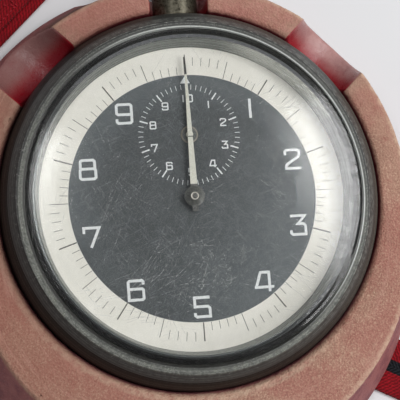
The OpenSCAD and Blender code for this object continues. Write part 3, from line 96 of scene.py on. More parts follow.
# ---- Node graphs ----
class Graph:
    """A Principled material whose colour, roughness and bump come from procedural nodes."""

    def __init__(self, name, **plain):
        self.mat = bpy.data.materials.new(name)
        self.mat.use_nodes = True
        self.tree = self.mat.node_tree
        self.tree.nodes.clear()
        self.out = self.add("ShaderNodeOutputMaterial")
        self.bsdf = self.add("ShaderNodeBsdfPrincipled")
        self.link(self.bsdf.outputs[0], self.out.inputs[0])
        for key, value in plain.items():
            self.bsdf.inputs[key.replace("_", " ")].default_value = value
        self._coord = None

    def add(self, kind, **props):
        n = self.tree.nodes.new(kind)
        for key, value in props.items():
            setattr(n, key, value)
        return n

    def link(self, a, b):
        self.tree.links.new(a, b)

    def put(self, socket, value):
        if isinstance(value, bpy.types.NodeSocket):
            self.link(value, socket)
        elif isinstance(value, (tuple, list)) and len(value) == 3 and socket.type == "RGBA":
            socket.default_value = (*value, 1.0)
        else:
            socket.default_value = value

    @property
    def place(self):
        """The piece's own coordinates in millimetres."""
        if self._coord is None:
            tc = self.add("ShaderNodeTexCoord")
            vm = self.add("ShaderNodeVectorMath", operation="SCALE")
            self.link(tc.outputs["Object"], vm.inputs[0])
            vm.inputs["Scale"].default_value = 1000.0
            self._coord = vm.outputs[0]
        return self._coord

    def uv(self):
        """The place on a strip: across it and along it, in millimetres."""
        return self.add("ShaderNodeUVMap", uv_map="along").outputs[0]

    def xyz(self, vec=None):
        n = self.add("ShaderNodeSeparateXYZ")
        self.link(vec or self.place, n.inputs[0])
        return n.outputs[0], n.outputs[1], n.outputs[2]

    def vec(self, x, y, z):
        n = self.add("ShaderNodeCombineXYZ")
        for s, v in zip(n.inputs, (x, y, z)):
            self.put(s, v)
        return n.outputs[0]

    def math(self, op, a, b=0.0):
        n = self.add("ShaderNodeMath", operation=op)
        self.put(n.inputs[0], a)
        self.put(n.inputs[1], b)
        return n.outputs[0]

    def times(self, a, b):
        return self.math("MULTIPLY", a, b)

    def plus(self, a, b):
        return self.math("ADD", a, b)

    def minus(self, a, b):
        return self.math("SUBTRACT", a, b)

    def most(self, a, b):
        return self.math("MAXIMUM", a, b)

    def size(self, a):
        return self.math("ABSOLUTE", a)

    def length(self, a, b):
        return self.math("SQRT", self.plus(self.times(a, a), self.times(b, b)))

    def step(self, value, low, high, a=0.0, b=1.0):
        """A smooth ramp of value from a at low to b at high."""
        n = self.add("ShaderNodeMapRange", interpolation_type="SMOOTHSTEP")
        for s, v in zip(n.inputs[:5], (value, low, high, a, b)):
            self.put(s, v)
        return n.outputs[0]

    def noise(self, scale, detail=3.0, rough=0.5, vec=None, distort=0.0):
        n = self.add("ShaderNodeTexNoise")
        self.link(vec or self.place, n.inputs["Vector"])
        n.inputs["Scale"].default_value = scale
        n.inputs["Detail"].default_value = detail
        n.inputs["Roughness"].default_value = rough
        n.inputs["Distortion"].default_value = distort
        return n.outputs[0]

    def cells(self, scale):
        n = self.add("ShaderNodeTexVoronoi")
        self.link(self.place, n.inputs["Vector"])
        n.inputs["Scale"].default_value = scale
        return n.outputs["Distance"]

    def mix(self, fac, a, b):
        n = self.add("ShaderNodeMix", data_type="RGBA")
        self.put(n.inputs[0], fac)
        self.put(n.inputs[6], a)
        self.put(n.inputs[7], b)
        return n.outputs[2]

    def over(self, base, colour, value, low, high, amount=1.0):
        """Lays a colour over the base, by amount, as the value goes from low to high."""
        return self.mix(self.step(value, low, high, 0.0, amount), base, colour)

    def blend(self, share, first, second):
        """One shader, and another by its share."""
        n = self.add("ShaderNodeMixShader")
        for socket, value in zip(n.inputs, (share, first, second)):
            self.link(value, socket)
        return n.outputs[0]

    def bump(self, height, distance, strength=1.0, normal=None):
        n = self.add("ShaderNodeBump")
        n.inputs["Strength"].default_value = strength
        n.inputs["Distance"].default_value = distance * MM
        self.put(n.inputs["Height"], height)
        if normal is not None:
            self.link(normal, n.inputs["Normal"])
        return n.outputs[0]

    def stretched(self, sx, sy, sz):
        """The piece's own coordinates, scaled along each axis."""
        n = self.add("ShaderNodeVectorMath", operation="MULTIPLY")
        self.link(self.place, n.inputs[0])
        n.inputs[1].default_value = (sx, sy, sz)
        return n.outputs[0]

    def radius(self, x0=0.0, y0=0.0):
        """The distance from an upright axis."""
        x, y, _ = self.xyz()
        x = self.minus(x, x0) if x0 else x
        y = self.minus(y, y0) if y0 else y
        return self.length(x, y)

    def base(self, value):
        self.put(self.bsdf.inputs["Base Color"], value)

    def metallic(self, value):
        self.put(self.bsdf.inputs["Metallic"], value)

    def rough(self, value):
        self.put(self.bsdf.inputs["Roughness"], value)

    def normal(self, value):
        self.put(self.bsdf.inputs["Normal"], value)


def lin(r, g, b):
    """A colour given as it shows on a screen, 0 to 255, as the linear one that a shader takes."""
    return tuple(((c / 255 + 0.055) / 1.055) ** 2.4 if c > 10 else c / 255 / 12.92 for c in (r, g, b))


# The rubber case: its notches are scooped along axes at this angle, on both sides of the pendant's slot
NOTCH_TURN, NOTCH_Z, NOTCH_R = math.radians(46.3), 12.7, 7.0
SLOT_HALF = 5.2
RUBBER_TOP = 12.0
# the rim's outline lies round a line that runs from the middle this far towards 6 o'clock
OUTLINE_LINE = 6.0


def rubber_face(g, x, y, r, hole, notch, clouds):
    """The rim's face: salmon, tan where hands have polished it, reddish where the skin has gone."""
    blotch, patch, smear, grain, wobble, north, left = clouds
    face = g.over(lin(170, 115, 100), lin(174, 131, 111), blotch, 0.4, 0.6)
    face = g.over(face, lin(160, 102, 88), patch, 0.5, 0.72, 0.75)
    face = g.over(face, lin(196, 154, 132), smear, 0.5, 0.75, 0.5)
    corner = g.times(g.times(north, g.step(g.plus(notch, wobble), 10.0, 7.3)), 0.75)
    face = g.mix(corner, face, lin(166, 132, 112))
    bloom = g.times(g.step(y, 14.0, 30.0), g.step(smear, 0.4, 0.6, 0.1, 0.5))
    face = g.mix(bloom, face, lin(186, 126, 116))
    # a coarser grain towards 6 o'clock
    gritty = g.step(y, 22.0, -10.0, 0.45, 1.0)
    spots = g.times(g.step(grain, 0.5, 0.64), g.step(blotch, 0.36, 0.6, 0.4, 0.8))
    face = g.mix(g.times(spots, gritty), face, lin(208, 174, 150))
    face = g.mix(g.times(g.step(grain, 0.46, 0.32, 0.0, 0.6), gritty), face, lin(126, 80, 68))
    # pale edges, partly wear and partly a painted highlight, along the outer edge and along the inner edge at
    # the lower left; with pits
    inner = g.times(g.step(hole, 34.4, 33.7), g.step(g.plus(x, y), 6.0, -16.0))
    edge = g.most(g.step(r, 36.6, 37.4), inner)
    face = g.mix(g.times(edge, g.step(smear, 0.35, 0.6, 0.2, 0.85)), face, lin(204, 172, 148))
    pits = g.times(g.step(g.cells(1.6), 0.16, 0.06), g.step(smear, 0.48, 0.6))
    face = g.mix(g.times(pits, 0.6), face, lin(112, 84, 70))
    face = g.mix(g.times(left, 0.6), face, lin(138, 86, 71))
    rounds = g.vec(g.times(r, 1.3), g.times(g.math("ARCTAN2", y, x), 3.0), 0.0)
    return g.over(face, lin(190, 142, 126), g.noise(1.0, 3.0, 0.6, rounds), 0.5, 0.72, 0.45)


def rubber_material():
    """Faded red rubber, from the places of its face, walls, notches and lip."""
    g = Graph("rubber_faded", Specular_IOR_Level=0.4)
    x, y, z = g.xyz()
    # r: distance from the line that the rim's outline runs round
    low = g.math("MINIMUM", g.plus(y, OUTLINE_LINE), 0.0)
    r = g.length(x, g.plus(g.most(y, 0.0), low))
    hole = g.radius()
    # notch: distance from the axis of the nearer notch
    aside = g.size(x)
    off = g.minus(g.times(aside, math.cos(NOTCH_TURN)), g.times(y, math.sin(NOTCH_TURN)))
    notch = g.length(off, g.minus(z, NOTCH_Z))
    north = g.step(y, 4.0, 8.0)
    # left: a ramp towards the left; it darkens and reddens the face there, and carries the painted shade of
    # the left notch
    left = g.step(x, 6.0, -36.0)
    blotch = g.noise(0.1, 4.0, 0.55)
    patch = g.noise(0.33, 5.0, 0.62)
    smear = g.noise(0.9, 4.0, 0.65, None, 0.6)
    grain = g.noise(3.0, 3.0, 0.78)
    wobble = g.times(g.minus(smear, 0.5), 0.9)
    face = rubber_face(g, x, y, r, hole, notch, (blotch, patch, smear, grain, wobble, north, left))

    # the side wall, darker and less faded
    wall = g.over(lin(152, 92, 90), lin(126, 70, 74), patch, 0.38, 0.66)
    wall = g.over(wall, lin(182, 132, 122), grain, 0.52, 0.7, 0.4)
    # painted shade: the side wall's upper part towards 12 o'clock is painted dark brown as the shadow under
    # the rim
    painted_wall_shade = g.times(g.step(g.plus(z, wobble), 5.0, 11.5), g.step(y, 0.0, 20.0))
    wall = g.mix(g.times(painted_wall_shade, 0.85), wall, lin(92, 66, 54))

    # the notches and the slot: smooth red rubber, deepest beside the case
    # painted light: the notches' pale outer colour is painted darker in the left notch and lighter in the
    # right one, as the lamp falls from the right
    pale = g.mix(left, lin(182, 138, 134), lin(136, 92, 88))
    deep = g.mix(g.step(g.plus(hole, wobble), 33.8, 37.6), lin(146, 14, 30), pale)
    deep = g.over(deep, lin(124, 52, 58), patch, 0.45, 0.7, 0.3)
    slot = g.times(g.step(aside, SLOT_HALF, SLOT_HALF - 0.25), g.step(y, 27.0, 29.0))
    cut = g.most(g.times(north, g.step(notch, NOTCH_R, NOTCH_R - 0.18)), slot)

    top = g.step(g.plus(z, g.times(wobble, 0.35)), RUBBER_TOP - 0.5, RUBBER_TOP + 0.05)
    col = g.mix(top, wall, face)
    col = g.mix(cut, col, deep)
    # painted shade: the lip beside the case is painted deep red as the shadow in the gap next to the case,
    # low down all round and up to the face at the upper right
    lip = g.times(g.step(g.plus(hole, g.times(wobble, 0.25)), 33.3, 32.8), g.step(z, 3.0, 6.0))
    sunk = g.times(g.step(g.plus(x, y), 2.0, 24.0), g.step(z, RUBBER_TOP + 0.15, RUBBER_TOP - 0.4))
    lip = g.times(lip, g.most(g.step(z, 11.0, 9.6, 0.2, 1.0), sunk))
    g.base(g.mix(lip, col, lin(84, 5, 17)))
    g.rough(g.minus(g.step(grain, 0.3, 0.7, 0.6, 0.8), g.times(cut, 0.36)))
    height = g.plus(g.times(grain, 0.6), g.times(g.cells(2.6), 0.5))
    height = g.times(height, g.minus(1.0, g.times(cut, 0.85)))
    g.normal(g.bump(height, 0.2, 0.8, g.bump(smear, 0.4, 0.3)))
    return g.mat


def ribbon_material():
    """Red twill with a dark stripe down its middle."""
    g = Graph("ribbon_weave", Specular_IOR_Level=0.15, Sheen_Weight=0.1, Sheen_Roughness=0.5)
    u, v, _ = g.xyz(g.uv())
    twill_pitch, cross_pitch, stripe_half = 0.72, 0.5, 1.1
    across = g.size(u)
    pull = g.times(g.minus(g.noise(1.3, 3.0, 0.6), 0.5), 0.9)
    slant = g.plus(g.plus(v, pull), g.times(across, 0.9))
    twill = g.math("SINE", g.times(slant, TWO_PI / twill_pitch))
    cross = g.math("SINE", g.times(g.plus(u, g.times(pull, 0.4)), TWO_PI / cross_pitch))
    fuzz = g.noise(6.0, 3.0, 0.65)
    height = g.plus(g.times(twill, 0.5), g.times(cross, 0.22))
    height = g.plus(height, g.minus(fuzz, 0.25))
    # painted shade: the weave's hollows are painted darker and its ridges lighter, in the red and in the
    # black stripe
    red = g.over(lin(108, 9, 17), lin(160, 17, 30), height, -0.4, 1.0)
    red = g.mix(g.step(g.noise(0.5, 3.0), 0.4, 0.7, 0.0, 0.5), red, lin(100, 12, 20))
    black = g.over(lin(8, 9, 12), lin(34, 36, 42), height, -0.2, 0.9)
    wander = g.times(g.minus(g.noise(1.8, 2.0), 0.5), 0.25)
    stripe = g.step(g.plus(across, wander), stripe_half + 0.08, stripe_half - 0.08)
    g.base(g.mix(stripe, red, black))
    g.rough(g.step(fuzz, 0.3, 0.7, 0.75, 0.95))
    g.normal(g.bump(height, 0.09, 0.8))
    return g.mat


def upper_right(g, x, y, lean, low, high, a=0.0, b=1.0):
    """A ramp that climbs towards the upper right."""
    return g.step(g.plus(x, g.times(y, lean)), low, high, a, b)


def turned_lines(g, r, z, fine, upright, detail, rough):
    """Circles that a lathe leaves, from the radius and the height."""
    return g.noise(1.0, detail, rough, g.vec(g.times(r, fine), g.times(z, upright), 0.0))


def worn_rings(g, r, broken, places):
    """Fine bright circles where turned edges have been rubbed; places: radius and half width."""
    out = 0.0
    for place, width in places:
        ring = g.step(g.size(g.minus(r, place)), width, width * 0.3)
        out = g.most(ring, out)
    return g.times(out, g.step(broken, 0.4, 0.6))


def black_case_material():
    g = Graph("blackened_case", Specular_IOR_Level=0.22)
    x, y, z = g.xyz()
    fine = g.noise(6.0, 3.0, 0.65)
    wide = g.noise(0.4, 3.0, 0.5)
    spots = g.cells(1.3)
    r = g.radius()
    turned = turned_lines(g, r, z, 5.0, 2.0, 3.0, 0.75)
    base = g.over(lin(11, 8, 7), lin(9, 9, 8), wide, 0.35, 0.65)
    base = g.over(base, lin(36, 34, 30), fine, 0.5, 0.75, 0.5)
    base = g.over(base, lin(42, 42, 38), turned, 0.55, 0.75, 0.3)
    # lighter towards the upper right: scuffs, and painted light where the lamp falls on the case from the
    # right
    scuff_and_light = upper_right(g, x, y, 0.5, -4.0, 26.0)
    base = g.mix(g.times(scuff_and_light, g.step(fine, 0.44, 0.62, 0.0, 0.55)), base, lin(92, 92, 84))
    base = g.mix(g.times(scuff_and_light, g.step(turned, 0.52, 0.62, 0.0, 0.6)), base, lin(118, 120, 112))
    # rubbed rings, painted brighter towards the upper right where the lamp falls
    rings = worn_rings(g, r, fine, ((30.6, 0.07), (31.0, 0.05), (31.45, 0.06), (31.8, 0.05)))
    base = g.mix(g.times(rings, g.step(scuff_and_light, 0.0, 1.0, 0.15, 0.7)), base, lin(150, 152, 144))
    rub = g.times(g.step(spots, 0.12, 0.03), g.step(fine, 0.5, 0.62))
    g.base(g.mix(rub, base, lin(140, 134, 118)))
    g.metallic(g.times(rub, 0.8))
    g.rough(g.step(fine, 0.3, 0.7, 0.36, 0.52))
    g.normal(g.bump(fine, 0.04, 0.7, g.bump(turned, 0.03, 0.5)))
    return g.mat


def bezel_material():
    """Black finish, rubbed to grey metal on a band of its top."""
    g = Graph("worn_bezel")
    x, y, z = g.xyz()
    r = g.radius()
    fine = g.noise(5.0, 4.0, 0.7)
    mid = g.noise(1.3, 4.0, 0.6)
    dots = g.cells(3.6)
    # the worn band runs wider towards 6 o'clock
    lean = g.times(g.step(y, 8.0, -26.0), 0.62)
    edge = g.minus(r, lean)
    flat = g.times(g.step(z, 16.3, 16.6), g.step(edge, 29.02, 28.86))
    flat = g.times(flat, g.step(edge, 27.9, 28.15))
    # painted reflection: the grey band is brightest at the lower left, where its flat reflects the lamp; the
    # grey itself is rubbed metal
    side = g.step(g.minus(g.times(x, -0.5), y), -26.0, 20.0, 0.12, 1.0)
    worn = g.times(flat, g.times(side, g.step(mid, 0.3, 0.6, 0.3, 1.0)))
    lines = turned_lines(g, r, z, 7.0, 3.0, 2.0, 0.8)
    black = g.over(lin(28, 27, 25), lin(58, 58, 54), fine, 0.4, 0.7)
    black = g.over(black, lin(112, 116, 111), lines, 0.5, 0.66, 0.75)
    grey = g.over(lin(88, 89, 84), lin(130, 132, 125), fine, 0.35, 0.65)
    grey = g.over(grey, lin(82, 84, 72), mid, 0.5, 0.7, 0.5)
    col = g.mix(worn, black, grey)
    rims = g.most(*(g.step(g.size(g.minus(r, place)), 0.14, 0.03) for place in (28.42, 28.92)))
    rims = g.times(g.times(rims, g.step(fine, 0.4, 0.66)), g.step(z, 16.4, 16.7))
    col = g.mix(g.times(rims, 0.4), col, lin(158, 160, 152))
    # painted highlight: the groove beside the crystal is painted light, lightest at the upper right, as the
    # glint off the crystal's polished edge
    painted_groove_glint = g.times(g.step(r, 28.6, 28.4), upper_right(g, x, y, 0.8, -4.0, 20.0))
    col = g.mix(g.times(painted_groove_glint, g.step(fine, 0.3, 0.6, 0.6, 0.95)), col, lin(206, 209, 204))
    # rubbed rings, painted brighter towards the upper right where the lamp falls
    rings = worn_rings(g, r, mid, ((29.35, 0.08), (29.7, 0.05), (30.0, 0.06), (30.25, 0.05)))
    rings = g.times(rings, upper_right(g, x, y, 0.8, -10.0, 16.0, 0.2, 0.8))
    col = g.mix(rings, col, lin(164, 167, 160))
    spark = g.times(g.step(dots, 0.2, 0.08), g.step(mid, 0.48, 0.6))
    spark = g.times(spark, g.step(z, 16.0, 16.6))
    g.base(g.mix(spark, col, lin(214, 212, 200)))
    g.metallic(g.times(worn, 0.6))
    g.rough(g.step(fine, 0.3, 0.7, 0.3, 0.5))
    g.normal(g.bump(fine, 0.05, 0.7, g.bump(mid, 0.12, 0.4)))
    return g.mat


def metal_material(name, dark, light, metallic, r0, r1, scale=3.0, turned=None, stripe=None, bump=0.02):
    """Plain worn metal; turned: centre of circular brushing; stripe: how fine it is along x, y and z."""
    g = Graph(name)
    if turned is not None:
        vec = g.vec(g.times(g.radius(*turned), 9.0), 0.0, g.times(g.xyz()[2], 0.5))
        lines = g.noise(1.0, 3.0, 0.7, vec)
    elif stripe is not None:
        lines = g.noise(1.0, 3.0, 0.7, g.stretched(*stripe))
    else:
        lines = g.noise(scale, 4.0, 0.65)
    cloud = g.noise(0.5, 4.0, 0.6)
    col = g.over(dark, light, lines, 0.35, 0.65)
    col = g.mix(g.step(cloud, 0.5, 0.75, 0.0, 0.35), col, tuple(c * 0.6 for c in dark))
    g.base(col)
    g.metallic(metallic)
    g.rough(g.step(lines, 0.3, 0.7, r0, r1))
    g.normal(g.bump(lines, bump))
    return g.mat


def ruby_material():
    g = Graph("ruby", IOR=1.76, Coat_Weight=0.4)
    t = g.noise(4.0, 3.0)
    g.base(g.over(lin(150, 8, 44), lin(205, 30, 74), t, 0.35, 0.65))
    g.rough(g.step(t, 0.3, 0.7, 0.06, 0.14))
    return g.mat


def rehaut_material():
    """The ring between dial and crystal: turned metal, with painted shade at the right and a painted
    highlight at the upper right.
    """
    g = Graph("rehaut_ring", Metallic=0.85)
    x, y, z = g.xyz()
    lines = g.noise(1.0, 3.0, 0.7, g.vec(g.times(g.radius(), 9.0), 0.0, g.times(z, 0.5)))
    col = g.over(lin(108, 112, 112), lin(140, 144, 143), lines, 0.35, 0.65)
    # painted shade at the right, and a painted highlight at the upper right
    col = g.over(col, lin(54, 60, 66), x, 20.0, 24.6, 0.9)
    painted_upper_highlight = g.step(g.plus(g.times(x, 0.64), g.times(y, 0.77)), 23.0, 26.2, 0.0, 0.8)
    col = g.mix(painted_upper_highlight, col, lin(206, 208, 206))
    g.base(col)
    g.rough(g.step(lines, 0.3, 0.7, 0.18, 0.34))
    g.normal(g.bump(lines, 0.01))
    return g.mat


def dial_material():
    """Worn black enamel inside a cream ring, with a painted sheen that lightens it towards the right and
    round its outer part, and fine hairlines.
    """
    g = Graph("dial_enamel", Specular_IOR_Level=0.4)
    r = g.radius()
    cloud = g.noise(0.13, 4.0, 0.6)
    fleck = g.noise(3.6, 4.0, 0.75)
    fine = g.noise(7.5, 2.0, 0.6)
    brush = g.noise(1.0, 4.0, 0.7, g.stretched(4.5, 0.5, 1.0))
    scuff = g.noise(0.6, 5.0, 0.7, None, 0.8)
    x, y, _ = g.xyz()
    dark = g.over(lin(40, 45, 48), lin(56, 61, 63), cloud, 0.35, 0.7)
    # painted sheen: lighter towards the right, where the lamp falls, and lighter round the outer part, least
    # at the bottom
    painted_sheen = g.step(g.minus(x, g.times(y, 0.45)), -4.0, 24.0, 0.0, 0.5)
    painted_sheen = g.most(painted_sheen, g.times(g.step(r, 13.0, 21.0, 0.0, 0.42), g.step(y, -14.0, -2.0, 0.15, 1.0)))
    dark = g.mix(painted_sheen, dark, lin(106, 113, 117))
    dark = g.over(dark, lin(88, 92, 92), fine, 0.46, 0.7, 0.4)
    dark = g.over(dark, lin(84, 88, 88), fleck, 0.5, 0.75, 0.4)
    dark = g.over(dark, lin(48, 51, 53), fleck, 0.45, 0.28, 0.5)
    dark = g.over(dark, lin(92, 97, 99), brush, 0.52, 0.72, 0.4)
    dark = g.over(dark, lin(112, 116, 116), scuff, 0.6, 0.74, 0.4)
    for turn in (0.35, 1.1, 2.3):
        along = g.plus(g.times(x, math.cos(turn)), g.times(y, math.sin(turn)))
        aside = g.minus(g.times(y, math.cos(turn)), g.times(x, math.sin(turn)))
        hair = g.noise(1.0, 2.0, 0.7, g.vec(g.times(along, 0.32), g.times(aside, 5.5), turn))
        dark = g.over(dark, lin(118, 123, 124), hair, 0.6, 0.7, 0.45)
    cream = g.over(lin(237, 234, 224), lin(243, 240, 231), cloud, 0.35, 0.7)
    cream = g.over(cream, lin(204, 198, 182), fleck, 0.55, 0.8, 0.35)
    edge = g.plus(r, g.times(g.minus(fleck, 0.5), 0.05))
    g.base(g.over(dark, cream, edge, SCALE_R - 0.04, SCALE_R + 0.04))
    g.rough(g.step(fleck, 0.3, 0.7, 0.42, 0.58))
    g.normal(g.bump(fine, 0.012, 0.6))
    return g.mat


def paint_material(name, dark, light, grain=(7.0, 3.0, 0.6), rough=(0.45, 0.6), bump=0.01, gloss=0.4):
    g = Graph(name, Specular_IOR_Level=gloss)
    t = g.noise(*grain)
    g.base(g.over(dark, light, t, 0.35, 0.65))
    g.rough(g.step(t, 0.3, 0.7, *rough))
    g.normal(g.bump(t, bump))
    return g.mat


def hand_material():
    """White paint on the blade, a gap where it has chipped, and a dark tip."""
    g = Graph("painted_hand", Specular_IOR_Level=0.5)
    _, y, _ = g.xyz()
    t = g.noise(6.0, 3.0, 0.6)
    white = g.over(lin(205, 204, 190), lin(224, 223, 211), t, 0.35, 0.65)
    black = g.over(lin(16, 16, 17), lin(40, 40, 40), t, 0.35, 0.65)
    # the white paint of the blade, between hub and tip
    white_blade = g.times(g.step(y, 2.0, 2.12), g.step(y, SCALE_R - 0.04, SCALE_R - 0.16))
    crack = g.times(g.step(y, 10.0, 10.06), g.step(y, 10.22, 10.16))
    white_blade = g.times(white_blade, g.minus(1.0, crack))
    grey = g.over(lin(56, 58, 58), lin(86, 85, 80), t, 0.35, 0.65)
    black = g.over(black, grey, y, 18.0, 17.0)
    g.base(g.mix(white_blade, black, white))
    g.rough(g.step(t, 0.3, 0.7, 0.35, 0.5))
    g.normal(g.bump(t, 0.01))
    return g.mat


ACRYLIC_IOR = 1.49


def crystal_material():
    """Clear acrylic: it bends and mirrors light, and lets the lamps through to the dial."""
    g = Graph("acrylic_crystal")
    g.tree.nodes.remove(g.bsdf)
    haze = g.noise(1.1, 4.0, 0.7)
    tint = g.mix(g.step(haze, 0.3, 0.7), (0.97, 0.972, 0.967), (0.987, 0.988, 0.985))
    through = g.add("ShaderNodeBsdfRefraction")
    g.put(through.inputs["Color"], tint)
    through.inputs["Roughness"].default_value = 0.0
    through.inputs["IOR"].default_value = ACRYLIC_IOR
    mirror = g.add("ShaderNodeBsdfGlossy")
    g.put(mirror.inputs["Roughness"], g.step(haze, 0.3, 0.75, 0.07, 0.2))
    fresnel = g.add("ShaderNodeFresnel")
    fresnel.inputs["IOR"].default_value = ACRYLIC_IOR
    clear = g.add("ShaderNodeBsdfTransparent")
    g.put(clear.inputs[0], (0.965, 0.966, 0.962))
    path = g.add("ShaderNodeLightPath")
    lamp = g.most(path.outputs["Is Shadow Ray"], path.outputs["Is Diffuse Ray"])
    glass = g.blend(fresnel.outputs[0], through.outputs[0], mirror.outputs[0])
    g.link(g.blend(lamp, glass, clear.outputs[0]), g.out.inputs[0])
    return g.mat


def scratch_material():
    g = Graph("scratches_and_glints", Specular_IOR_Level=0.5)
    t = g.noise(3.0, 3.0)
    g.base(g.over(lin(225, 228, 228), lin(245, 246, 244), t, 0.35, 0.65))
    g.rough(g.step(t, 0.3, 0.7, 0.4, 0.7))
    g.put(g.bsdf.inputs["Alpha"], g.step(t, 0.3, 0.75, 0.12, 0.6))
    return g.mat


# ---- Mesh helpers: all points in millimetres ----
UP = Vector((0, 0, 1))


def new_piece(name, bm, material, smooth=True):
    me = bpy.data.meshes.new(name)
    bm.transform(Matrix.Scale(MM, 4))
    bm.to_mesh(me)
    bm.free()
    me.materials.append(material)
    for p in me.polygons:
        p.use_smooth = smooth
    ob = bpy.data.objects.new(name, me)
    bpy.context.scene.collection.objects.link(ob)
    return ob


def catmull(a, b, c, d, t):
    """A smooth curve from b to c as t goes from 0 to 1."""
    return 0.5 * (2 * b + (c - a) * t + (2 * a - 5 * b + 4 * c - d) * t * t
                  + (3 * b - a - 3 * c + d) * t ** 3)


def smooth_line(points, parts):
    """A curve through the points, cut into a number of parts between each two."""
    p = [Vector(q) for q in points]
    out = []
    for i in range(len(p) - 1):
        for k in range(parts):
            out.append(catmull(p[max(0, i - 1)], p[i], p[i + 1], p[min(len(p) - 1, i + 2)], k / parts))
    out.append(p[-1])
    return out


def sweep(bm, line, section):
    """Sweeps a closed section (across, up) along the line, the width kept level; UV is (across, along)."""
    uv = bm.loops.layers.uv.verify()
    rings, along = [], [0.0]
    for a, b in zip(line, line[1:]):
        along.append(along[-1] + (b - a).length)
    last = len(line) - 1
    for i, c in enumerate(line):
        t = (line[min(last, i + 1)] - line[max(0, i - 1)]).normalized()
        flat = Vector((t.x, t.y, 0)).normalized()
        across = Vector((flat.y, -flat.x, 0))
        upward = across.cross(t)
        rings.append([bm.verts.new(c + across * s[0] + upward * s[1]) for s in section])
    n = len(section)
    for i in range(last):
        for j in range(n):
            k = (j + 1) % n
            corners = ((i, j), (i, k), (i + 1, k), (i + 1, j))
            f = bm.faces.new([rings[row][side] for row, side in corners])
            for loop, (row, side) in zip(f.loops, corners):
                loop[uv].uv = (section[side][0], along[row])
    for ring, v in ((list(reversed(rings[0])), 0.0), (rings[-1], along[-1])):
        f = bm.faces.new(ring)
        for loop in f.loops:
            loop[uv].uv = (0.0, v)
    return along[-1]


def strip_section(width, thick, steps=14):
    """A woven strip's section: flat faces that round off to thinner edges."""
    flat_share, edge_drop = 0.9, 0.55
    half, h = width / 2, thick / 2
    top = []
    for i in range(steps + 1):
        s = -1 + 2 * i / steps
        drop = edge_drop * max(0.0, abs(s) - flat_share) / (1 - flat_share)
        top.append((s * half, h * (1 - drop)))
    return [(x, -y) for x, y in top] + [(x, y) for x, y in reversed(top)]


def name_uv(ob):
    ob.data.uv_layers[0].name = "along"
    return ob


# ---- Neck ribbon: from the bow, round the stopwatch on the floor, and back to the bow ----
RZ = RIBBON_T / 2 + 0.05
SEWN_Z = RZ + 0.84
BOW_ARC_Y, BOW_HALF, BOW_Z = 52.3, 8.7, 7.0
ROUTE = [
    (1.4, 57.8, 4.1), (1, 54, 2), (0.9, 50, RZ), (1.1, 45, RZ), (2, 39, RZ), (5.3, 32.5, RZ),
    (9.3, 26, RZ), (12, 18, RZ), (13, 9, RZ), (13, 0, RZ), (13.3, -9, RZ), (15.8, -16.5, RZ),
    (20.4, -22.4, RZ), (27, -26.7, RZ), (35, -30.9, RZ), (43, -35.3, RZ), (51, -41.2, RZ),
    (56.8, -49.5, RZ), (59, -60, RZ), (57, -71, RZ), (50, -80.3, RZ), (38.5, -86.5, RZ), (23, -89.5, RZ),
    (5, -90.2, RZ), (-14, -87.5, RZ), (-33, -81, RZ), (-50.5, -70, RZ), (-65, -54, RZ), (-74.3, -34, RZ),
    (-77.8, -12, RZ), (-76, 10, RZ), (-69.5, 31, RZ), (-58.5, 50, RZ), (-43, 65.3, RZ), (-24, 74.8, RZ),
    (-3, 78.2, RZ), (18, 76, RZ), (37, 68, RZ), (52.5, 54.8, RZ), (63, 38, RZ), (68.3, 19, RZ),
    (69.5, 0, RZ), (68.5, -17, RZ), (66.2, -29, 0.8), (62.8, -39, 1.35), (57.8, -49.2, 1.4),
    (51.2, -58.2, 1.35), (43.2, -65.6, 0.95), (32, -71.9, RZ), (17.5, -75.6, RZ), (2, -76.3, RZ),
    (-14, -73.8, RZ), (-30, -68, RZ), (-44, -58.8, RZ), (-54.3, -46.8, RZ), (-61, -33, RZ),
    (-63.6, -18.5, RZ), (-62.2, -4, RZ), (-57.6, 8.6, RZ), (-50.5, 17.7, RZ), (-42.4, 26.2, RZ),
    (-34.3, 34.3, RZ), (-26, 42.6, RZ), (-22, 46.5, 1), (-17, 50.1, 2.8), (-11.9, 52, 4.3),
]
ribbon_mat = ribbon_material()
thread_mat = paint_material(
    "sewing_thread", lin(120, 12, 24), lin(188, 40, 52),
    grain=(9.0, 2.0), rough=(0.6, 0.85), bump=0.05, gloss=0.3,
)
line = smooth_line(ROUTE, 8)
bm = bmesh.new()
length = sweep(bm, line, strip_section(RIBBON_W, RIBBON_T))
ribbon = name_uv(new_piece("neck_ribbon", bm, ribbon_mat))
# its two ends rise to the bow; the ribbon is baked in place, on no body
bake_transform(ribbon)
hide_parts("lanyard_ribbon")

# the folded end sewn back on the strand that comes in from the left
TAIL_ROUTE = [
    (-36.2, 34.9, SEWN_Z), (-31, 40.0, SEWN_Z), (-27.1, 44.0, SEWN_Z), (-23, 48.1, 1.95), (-17.7, 51.6, 3.7),
]
tail_line = smooth_line(TAIL_ROUTE, 8)
bm = bmesh.new()
sweep(bm, tail_line, strip_section(RIBBON_W - 0.2, RIBBON_T * 0.9))
tail = name_uv(new_piece("ribbon_sewn_tail", bm, ribbon_mat))
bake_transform(tail)


